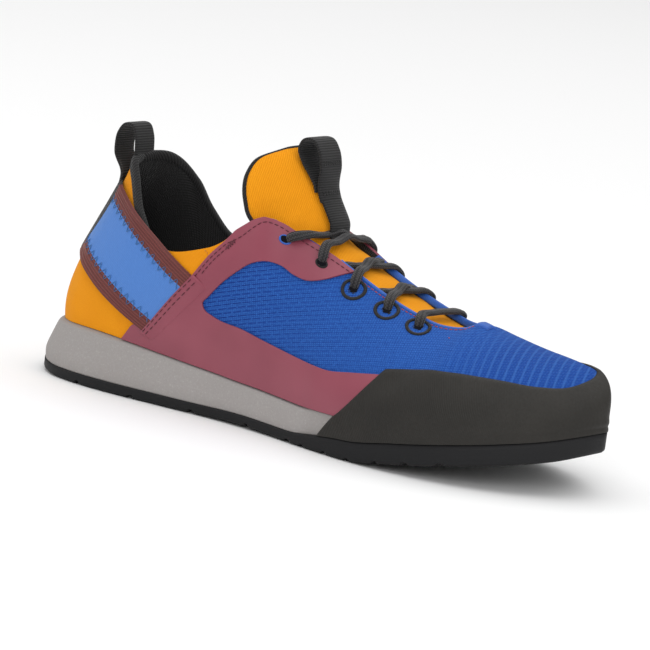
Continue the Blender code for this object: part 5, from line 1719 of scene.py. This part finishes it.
def lace_run(side, low, ground, into_hole=False):
    """Marks of a lace from a hole over the throat: place, up and girth, seven numbers each."""
    high = low - 1 if low < 4 else low
    start, start_normal = hole_place(side, low)
    goal, goal_normal = hole_place(-side, high)
    half = LACE_FLAT / 2
    seat = half + (0.0001 if low >= FIRST_RINGED_HOLE else OVERLAY_FACE)
    end_seat = half + OVERLAY_FACE if into_hole and low < 4 else half + 0.0001
    up = np.array([0.0, 0.0, 1.0])
    near_turn = station_for(side, low) + (-0.006 if side < 0 else 0.006)
    near_edge = rib(np.array(near_turn), 1.0) + unit(up + start_normal) * (seat + 0.0002)
    marks = [(start - start_normal * LACE_SINK, start_normal, 0.66)]
    level = unit((near_edge - start) - start_normal * ((near_edge - start) @ start_normal))
    marks.append((start + start_normal * (seat + 0.0003) + level * LACE_BEND, start_normal, 0.95))
    marks.append((near_edge, unit(start_normal + up), 1.0))
    if into_hole:
        far_turn = station_for(-side, high) + (0.024 if side > 0 else -0.024) * (0 if low == 4 else 1)
        far_edge = rib(np.array(far_turn), 1.0) + unit(up + goal_normal) * (end_seat + 0.0002)
    else:
        far_turn = LACE_HOLES[high][0] + 0.024
        far_turn = 2 - far_turn if side < 0 else far_turn
        far_normal = rib_normal(np.array(far_turn), 0.95)
        far_edge = rib(np.array(far_turn), 1.0) - unit(up + far_normal) * 0.0014
    lift = 0.0 if low == 4 else (LACE_OVER if side < 0 else LACE_UNDER)
    for share in (0.26, 0.5, 0.74):
        middle = mix(near_edge, far_edge, share)
        bow = lift * math.exp(-((share - 0.5) / 0.20) ** 2)
        on_tongue = ground(middle[0], middle[1]) + half + 0.0002
        height = max(on_tongue, middle[2] + 0.0006 * math.sin(math.pi * share))
        marks.append((np.array([middle[0], middle[1], height + bow]), up, 1.04))
    if into_hole:
        marks.append((far_edge, unit(goal_normal + up), 1.0))
        level = unit((goal - far_edge) - goal_normal * ((goal - far_edge) @ goal_normal))
        marks.append((goal + goal_normal * (end_seat + 0.0003) - level * LACE_BEND, goal_normal, 0.95))
        marks.append((goal - goal_normal * LACE_SINK, goal_normal, 0.66))
    else:
        marks.append((far_edge, unit(far_normal + up), 0.95))
        marks.append((skin(np.array(far_turn), 0.94, -0.0042), far_normal, 0.85))
    return marks


def lace_marks():
    """The whole lace, from its end in the outer slot to its end in the inner one."""
    ground = TongueGround()

    def inside(side, start, end):
        first, first_normal = hole_place(side, start, -0.0050)
        last, last_normal = hole_place(-side, end, -0.0050)
        middle = (first + last) / 2
        drop = ground(middle[0], middle[1]) - 0.0045
        below = np.array([middle[0], middle[1], drop])
        return [(first, first_normal, 0.7), (below, np.array([0, 0, 1.0]), 0.8), (last, last_normal, 0.7)]

    back = lace_run(1, 3, ground) + lace_run(-1, 2, ground) + lace_run(1, 1, ground, True)
    route = back[::-1] + inside(1, 3, 4) + lace_run(-1, 4, ground, True) + inside(1, 4, 3)
    route += lace_run(-1, 3, ground) + lace_run(1, 2, ground) + lace_run(-1, 1, ground, True)
    return np.array([np.concatenate([place, up, [girth]]) for place, up, girth in route])


def make_laces(braid):
    """One flat braid through all ten holes; both ends stop inside the top slots."""
    marks = lace_marks()
    lengths = walked(marks[:, :3])
    at = track(np.column_stack([lengths, marks]))
    close = at(np.linspace(0, lengths[-1], 6000))
    travelled = walked(close[:, :3])
    aims = np.arange(0, travelled[-1], 0.0009)
    line = read_off(close, travelled, aims)
    sides = 40
    section = oval(LACE_BREADTH, LACE_FLAT, sides, 2.5)
    angle = 2 * math.pi * (np.arange(sides) + 0.5) / sides
    cords = 1 + 0.045 * np.cos(10 * angle)
    profile = (section * cords[:, None])[None] * line[:, 6][:, None, None]
    piece = cord_piece("lace_braid", line[:, :3], unit(line[:, 3:6]), profile, braid, 80)
    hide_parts("lace_crossing_1", "lace_crossing_2", "lace_crossing_3", "lace_bar")
    return [piece]


def squeezed(turn, width_share):
    """Reach of an oval's edge at an angle, as a share of its reach along the shoe."""
    return 1 / np.sqrt(np.cos(turn) ** 2 + (np.sin(turn) / width_share) ** 2)


def ring_band(name, side, index, radii, height, out, finish, width_share=1.0, steps=56):
    """A low rounded band round a lace hole; width_share flattens it to an oval."""
    turn = np.linspace(0, 2 * math.pi, steps, endpoint=False)
    share = np.linspace(0, 1, 7)
    turn, share = np.meshgrid(turn, share, indexing="ij")
    reach = mix(radii[0], radii[1], share) * squeezed(turn, width_share)
    rise = height * np.sqrt(np.clip(1 - (2 * share - 1) ** 2, 0.0, 1))
    top, _ = near_hole(side, index, reach, turn, out + rise)
    under, _ = near_hole(side, index, reach, turn, out - 0.0004 + 0 * rise)
    return sheet_piece(name, top, under, finish, closed=True, flip=True, angle=60)


def hole_shadow_disc(name, side, index, radius, out, finish, width_share=1.0):
    """Painted shade: a near black disc sunk a little inside a lace hole, standing in for the hole's shadow.
    """
    turn = np.linspace(0, 2 * math.pi, 32, endpoint=False)
    share = np.array([1.0, 0.8, 0.5, 0.2])
    turn, share = np.meshgrid(turn, share, indexing="ij")
    wobble = 1 + 0.10 * np.sin(5 * turn + 1.3 * index) * share
    reach = radius * share * squeezed(turn, width_share) * wobble
    top, _ = near_hole(side, index, reach, turn, out + 0.0003 * share)
    under, _ = near_hole(side, index, reach, turn, out - 0.0006 + 0 * share)
    points, face, back, rim = close_sheet(top, under, closed=True)
    faces = np.concatenate([face, back, rim]).tolist()
    count = top.shape[0] * top.shape[1]
    inner = [column * 4 + 3 for column in range(32)]
    faces = [each for each in faces if not (set(each) <= set(inner) | {at + count for at in inner})]
    faces.append(inner)
    faces.append([at + count for at in inner][::-1])
    return place_mesh(name, points, faces, [finish], angle=70)


def make_eyelets(embroidery, hole_shadow_finish, satin, tree, black_thread):
    """Embroidered rings round the lower holes and satin edged slots above them."""
    pieces = []
    runs = []
    chance = np.random.default_rng(7)
    frays = []
    for side, word in SIDES:
        for index in range(len(LACE_HOLES)):
            number = index + 1
            if index >= FIRST_RINGED_HOLE:
                ring = ring_band(f"eyelet_band_{word}_{number}", side, index, (RING_INNER, RING_OUTER),
                                 0.0004, 0.0001, embroidery)
                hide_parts(f"eyelet_{word}_{number}")
                pieces.append(ring)
                turn = np.linspace(0, 2 * math.pi, RING_STITCHES, endpoint=False)
                reach = np.full(RING_STITCHES, (RING_INNER + RING_OUTER) / 2)
                marks, backs = near_hole(side, index, reach, turn, 0.0004)
                outer, _ = near_hole(side, index, reach + 0.0005, turn, 0.0004)
                sizes = np.tile([RING_OUTER - RING_INNER + 0.0003, 0.0005, 0.0005], (RING_STITCHES, 1))
                runs.append((marks, unit(outer - marks), backs, sizes))
                # painted shade: a near black disc fills the hole where its shadow falls
                floor = hole_shadow_disc(f"hole_{word}_{number}", side, index, HOLE_RADIUS, 0.0001, hole_shadow_finish)
                reach = np.full(FRAY_HAIRS, HOLE_RADIUS) * chance.uniform(0.85, 1.35, FRAY_HAIRS)
                turn = chance.uniform(0, 2 * math.pi, FRAY_HAIRS)
                marks, backs = near_hole(side, index, reach, turn, 0.0002)
                swung = turn + chance.uniform(-0.25, 0.25, FRAY_HAIRS)
                outer, _ = near_hole(side, index, reach + 0.0005, swung, 0.0002)
                lengths = chance.uniform(0.0007, 0.0016, FRAY_HAIRS)
                sizes = np.column_stack([lengths, 0 * lengths + 0.00022, 0 * lengths + 0.00025])
                frays.append((marks, unit(outer - marks), backs, sizes))
            else:
                # painted shade: a near black oval fills the slot where its shadow falls
                floor = hole_shadow_disc(f"slot_{word}_{number}", side, index, SLOT_LENGTH / 2,
                                   OVERLAY_FACE + 0.0002, hole_shadow_finish, SLOT_SHARE)
                rim = ring_band(f"slot_rim_{word}_{number}", side, index,
                                (SLOT_LENGTH / 2 - 0.0003, SLOT_LENGTH / 2 + 0.0009), 0.0006,
                                OVERLAY_FACE - 0.0001, satin if index == 0 else embroidery, SLOT_SHARE * 1.15)
                pieces.append(rim)
            pieces.append(floor)
    stitches = sew("eyelet_stitches", tree, runs, black_thread)
    fray = sew("hole_fray", tree, frays, black_thread)
    return pieces + [stitches, fray]


def throat_route(start, count, rise=1.0, out=0.0):
    """Both edges of the throat as one path round its tip."""
    stations = np.linspace(start, THROAT_TIP - 0.006, 60)
    around = np.concatenate([stations, (2 - stations)[::-1]])
    rises = np.full(around.shape, rise)
    both = np.column_stack([skin(around, rises, out), rib_normal(around, np.minimum(rises, 0.985))])
    both = run_through(both, count)
    return both[:, :3], unit(both[:, 3:])


def make_throat_edge(satin):
    """Rolled blue edge of the throat with a folded tab at its tip."""
    route, normals = throat_route(THROAT_EDGE_START, 260)
    route = route - normals * (UPPER_WALL / 2 - 0.0002)
    edge = cord_piece("throat_roll", route, normals, oval(0.0019, UPPER_WALL + 0.0010, 20, 2.8), satin, 75)
    u, v = spread(-1, 1, 30, -1, 1, 22)
    station = THROAT_TAB[0] + u * 0.0115
    around = np.where(v < 0, station, 2 - station)
    reach = 1 - np.abs(v) * THROAT_TAB[1]
    base = skin(around, np.where(station < THROAT_TIP, np.maximum(reach, 0.93), reach), 0.0)
    normal = rib_normal(around, np.minimum(reach, 0.97))
    inset = np.sqrt(np.clip(1 - np.abs(u) ** 6, 0, 1)) * np.sqrt(np.clip(1 - np.abs(v) ** 6, 0, 1))
    top = base + normal * (0.0002 + 0.0012 * inset)[..., None]
    under = base - normal * 0.0004
    tab = sheet_piece("throat_tab", top, under, satin, np.stack([u * 0.006, v * 0.004], axis=-1), angle=60)
    return [edge, tab]


def offset_marks(marks, shift, count=80):
    """A side view line moved to its right by a distance in metres."""
    line = side_line(marks, count)
    along = unit(np.gradient(line, axis=0))
    return line + np.stack([along[:, 1], -along[:, 0]], axis=-1) * shift


def seam_on_upper(marks, side, out, shift=0.0, count=80):
    """A path on the upper, set over from a side view line."""
    line = offset_marks(marks, shift, count)
    around, rise = place_in_side_view(line[:, 0], line[:, 1], side)
    return on_upper(around, np.clip(rise, 0.01, 0.985), out)


def make_seams(tree, threads):
    """All stitch rows of the shoe, each row of one thread."""
    maroon, blue, red, black, amber = threads
    dark, zigzag, orange, webbing_rows, seam_rows = [], [], [], [], []
    for side in (-1, 1):
        dark.append(straight_run(*seam_on_upper(FILM_TOP, side, OVERLAY_FACE, 0.0017, 180), *FILM_STITCH))
        path, normals = seam_on_upper(FILM_TOP[:4], side, OVERLAY_FACE, 0.0036, 90)
        dark.append(straight_run(path[10:62], normals[10:62], *FILM_STITCH))
        dark.append(zigzag_run(path[58:72], normals[58:72], *BAR_STITCH))
        for over in (0.16, 0.42):
            level = np.linspace(0.0, 0.99, 60)
            line = hem_place(side, np.full(60, over), level, mix(HEM_RISE, 0.0017, over))
            dark.append(straight_run(*line, *HEM_STITCH))
        for level in (0.5 - STRAP_BLUE_SHARE / 2, 0.5 + STRAP_BLUE_SHARE / 2):
            line = strap_line(side, PATCH_EDGE + 0.005, 0.985, level, level)
            zigzag.append(zigzag_run(*line, *STRAP_STITCH))
        around = on_side(np.linspace(THROAT_EDGE_START + 0.004, THROAT_TIP - 0.008, 60), side)
        orange.append(straight_run(*on_upper(around, np.full(60, 0.972), 0.0), *THROAT_STITCH))
        seam_rows.append(straight_run(*seam_on_upper(YELLOW_SEAM, side, 0.0, 0.0, 50), *YELLOW_STITCH))
    orange.append(straight_run(*side_path(((0.750, 0.543), (0.7535, 0.541)), -1, 0.0, 8), *TIP_STITCH))
    for z in TONGUE_LOOP_ROWS:
        for shift in (-1, 1):
            line = loop_row(TONGUE_LOOP, WEBBING_WIDTH, z, shift)
            webbing_rows.append(straight_run(*line, *LOOP_STITCH))
    rows = [sew("film_stitches", tree, dark, maroon), sew("strap_zigzag", tree, zigzag, blue),
            sew("throat_stitches", tree, orange, red), sew("loop_stitches", tree, webbing_rows, black),
            sew("heel_seam_stitches", tree, seam_rows, amber)]
    return rows


def loop_row(marks, width, z, side):
    """A row of stitches across the front run of a loop at a height."""
    line = side_line(marks, 400)
    index = int(np.argmin(np.abs(line[:160, 1] - z * COLLAR_HEIGHT)))
    along = unit(line[index + 1] - line[index - 1])
    out = np.array([along[1], -along[0]])
    across = np.linspace(-1, 1, 40) * (width / 2 - 0.0012)
    share = index / 400
    back = 0.0012 * (1 - ease(0.12, 0.30, share)) * (across / (width / 2)) ** 2
    lift = WEBBING_THICKNESS + 0.0001 - back
    shift = 0.0006 * side
    x = line[index, 0] + out[0] * lift + along[0] * shift
    height = line[index, 1] + out[1] * lift + along[1] * shift
    return spot(x, across, height), np.tile([out[0], 0.0, out[1]], (40, 1))


# Camera, light and floor


def stand_camera():
    """The photo's view: from the outer side, a little above and behind, slightly rolled."""
    yaw, pitch, roll = (math.radians(angle) for angle in CAMERA_TURN)
    back = Vector((math.sin(yaw) * math.cos(pitch), -math.cos(yaw) * math.cos(pitch), math.sin(pitch)))
    right = Vector((math.cos(yaw), math.sin(yaw), 0))
    up = back.cross(right)
    turn, lean = math.cos(roll), math.sin(roll)
    turned = (right * turn + up * lean, up * turn - right * lean, back)
    tilted = [Vector((way.x - CAMERA_TILT * way.z, way.y, way.z + CAMERA_TILT * way.x)) for way in turned]
    eye = Vector(CAMERA_AIM) + tilted[2] * CAMERA_DISTANCE
    lens = bpy.data.cameras.new("photo_view")
    lens.lens = CAMERA_LENS
    lens.sensor_width = 36
    lens.clip_start = 0.05
    lens.clip_end = 100
    camera = bpy.data.objects.new("photo_view", lens)
    rows = [(*ways, place) for ways, place in zip(zip(*tilted), eye)]
    camera.matrix_world = Matrix(rows + [(0, 0, 0, 1)])
    put_in_scene(camera)
    bpy.context.scene.camera = camera


def hang_light(name, place, aim, size, power, colour=(1, 1, 1)):
    lamp = bpy.data.lights.new(name, "AREA")
    lamp.shape = "RECTANGLE"
    lamp.size, lamp.size_y = size
    lamp.energy = power
    lamp.color = colour
    light = bpy.data.objects.new(name, lamp)
    light.location = place
    light.rotation_euler = (Vector(aim) - Vector(place)).to_track_quat("-Z", "Y").to_euler()
    put_in_scene(light)


def light_studio():
    """Soft light from above and the front, and a pale room."""
    hang_light("overhead", (0.4, 0.8, 3.2), (0.4, 0.8, 0.0), (6.0, 6.0), 122.0)
    hang_light("front", (0.9, -1.7, 0.9), (0.0, 0.0, 0.05), (1.0, 0.8), 9.0)
    hang_light("toe_side", (1.5, -0.3, 0.7), (0.05, 0.0, 0.05), (0.9, 0.7), 3.0)
    hang_light("heel_side", (-1.4, -0.5, 0.8), (-0.05, 0.0, 0.05), (0.9, 0.7), 3.0)
    room = bpy.data.worlds.new("pale_room")
    room.use_nodes = True
    room.node_tree.nodes["Background"].inputs["Color"].default_value = (1.0, 1.0, 1.0, 1)
    room.node_tree.nodes["Background"].inputs["Strength"].default_value = 0.45
    bpy.context.scene.world = room
    bpy.context.scene.view_settings.view_transform = "Standard"


def lay_floor(finish):
    mesh = bpy.data.meshes.new("pale_floor")
    reach = 15.0
    corners = [(x * reach, y * reach, -0.0002) for x, y in ((-1, -1), (1, -1), (1, 1), (-1, 1))]
    mesh.from_pydata(corners, [], [(0, 1, 2, 3)])
    mesh.materials.append(finish)
    floor = bpy.data.objects.new("pale_floor", mesh)
    put_in_scene(floor)
    floor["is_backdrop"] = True


def main():
    cad_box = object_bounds()
    yellow = yellow_stretch()
    smooth_yellow = yellow_stretch("tongue_stretch", 0.55, 0.0008)
    knit = blue_knit()
    film = maroon_film()
    lining = black_webbing("black_lining", 0.0, 0.0012, 0.0013, 0.0002)
    twill = black_webbing("collar_twill", 0.0, 0.0, 0.0011, 0.00025)
    ribbed = black_webbing("loop_webbing", 0.0, 0.00115, 0.0, 0.0003)
    patch_cloth = black_webbing("patch_cloth", 0.0012, 0.0012, 0.0, 0.0002)
    satin = strap_satin()
    bound = strap_binding()
    foam = grey_foam()
    rubber = sole_rubber()
    band = rand_rubber()
    braid = braided_lace()
    piping = knit_piping()
    embroidery = black_webbing("black_embroidery", 0.0, 0.0006, 0.0, 0.0002, 0.010)
    # painted shade: near black finish for the discs that stand in for the shadow in the lace holes
    hole_shadow_finish = painted_hole_shadow()
    maroon_thread = thread("maroon_thread", (0.120, 0.014, 0.030))
    blue_thread = thread("blue_thread", (0.040, 0.170, 0.400))
    red_thread = thread("red_thread", (0.500, 0.065, 0.045))
    black_thread = thread("black_thread", (0.016, 0.015, 0.015))
    amber_thread = thread("amber_thread", (0.700, 0.260, 0.020))
    tree = stitch_tree()
    pieces = make_upper(yellow, knit, lining)
    pieces += make_overlays(film)
    pieces += make_strap_hem(film)
    pieces += make_rand(band)
    pieces += make_outsole(rubber)
    pieces += make_midsole(foam)
    pieces += make_insole(lining)
    pieces += make_strap(satin, bound, lining, patch_cloth)
    pieces += make_binding(twill)
    pieces += make_tongue(smooth_yellow, lining, twill)
    pieces += make_tongue_strip(ribbed)
    pieces += make_loops(ribbed)
    pieces += make_laces(braid)
    pieces += make_eyelets(embroidery, hole_shadow_finish, piping, tree, black_thread)
    pieces += make_throat_edge(piping)
    pieces += make_seams(tree, (maroon_thread, blue_thread, red_thread, black_thread, amber_thread))
    for piece in pieces:
        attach(piece, "root")
    stand_camera()
    light_studio()
    lay_floor(pale_floor())
    return cad_box


cad_box = main()
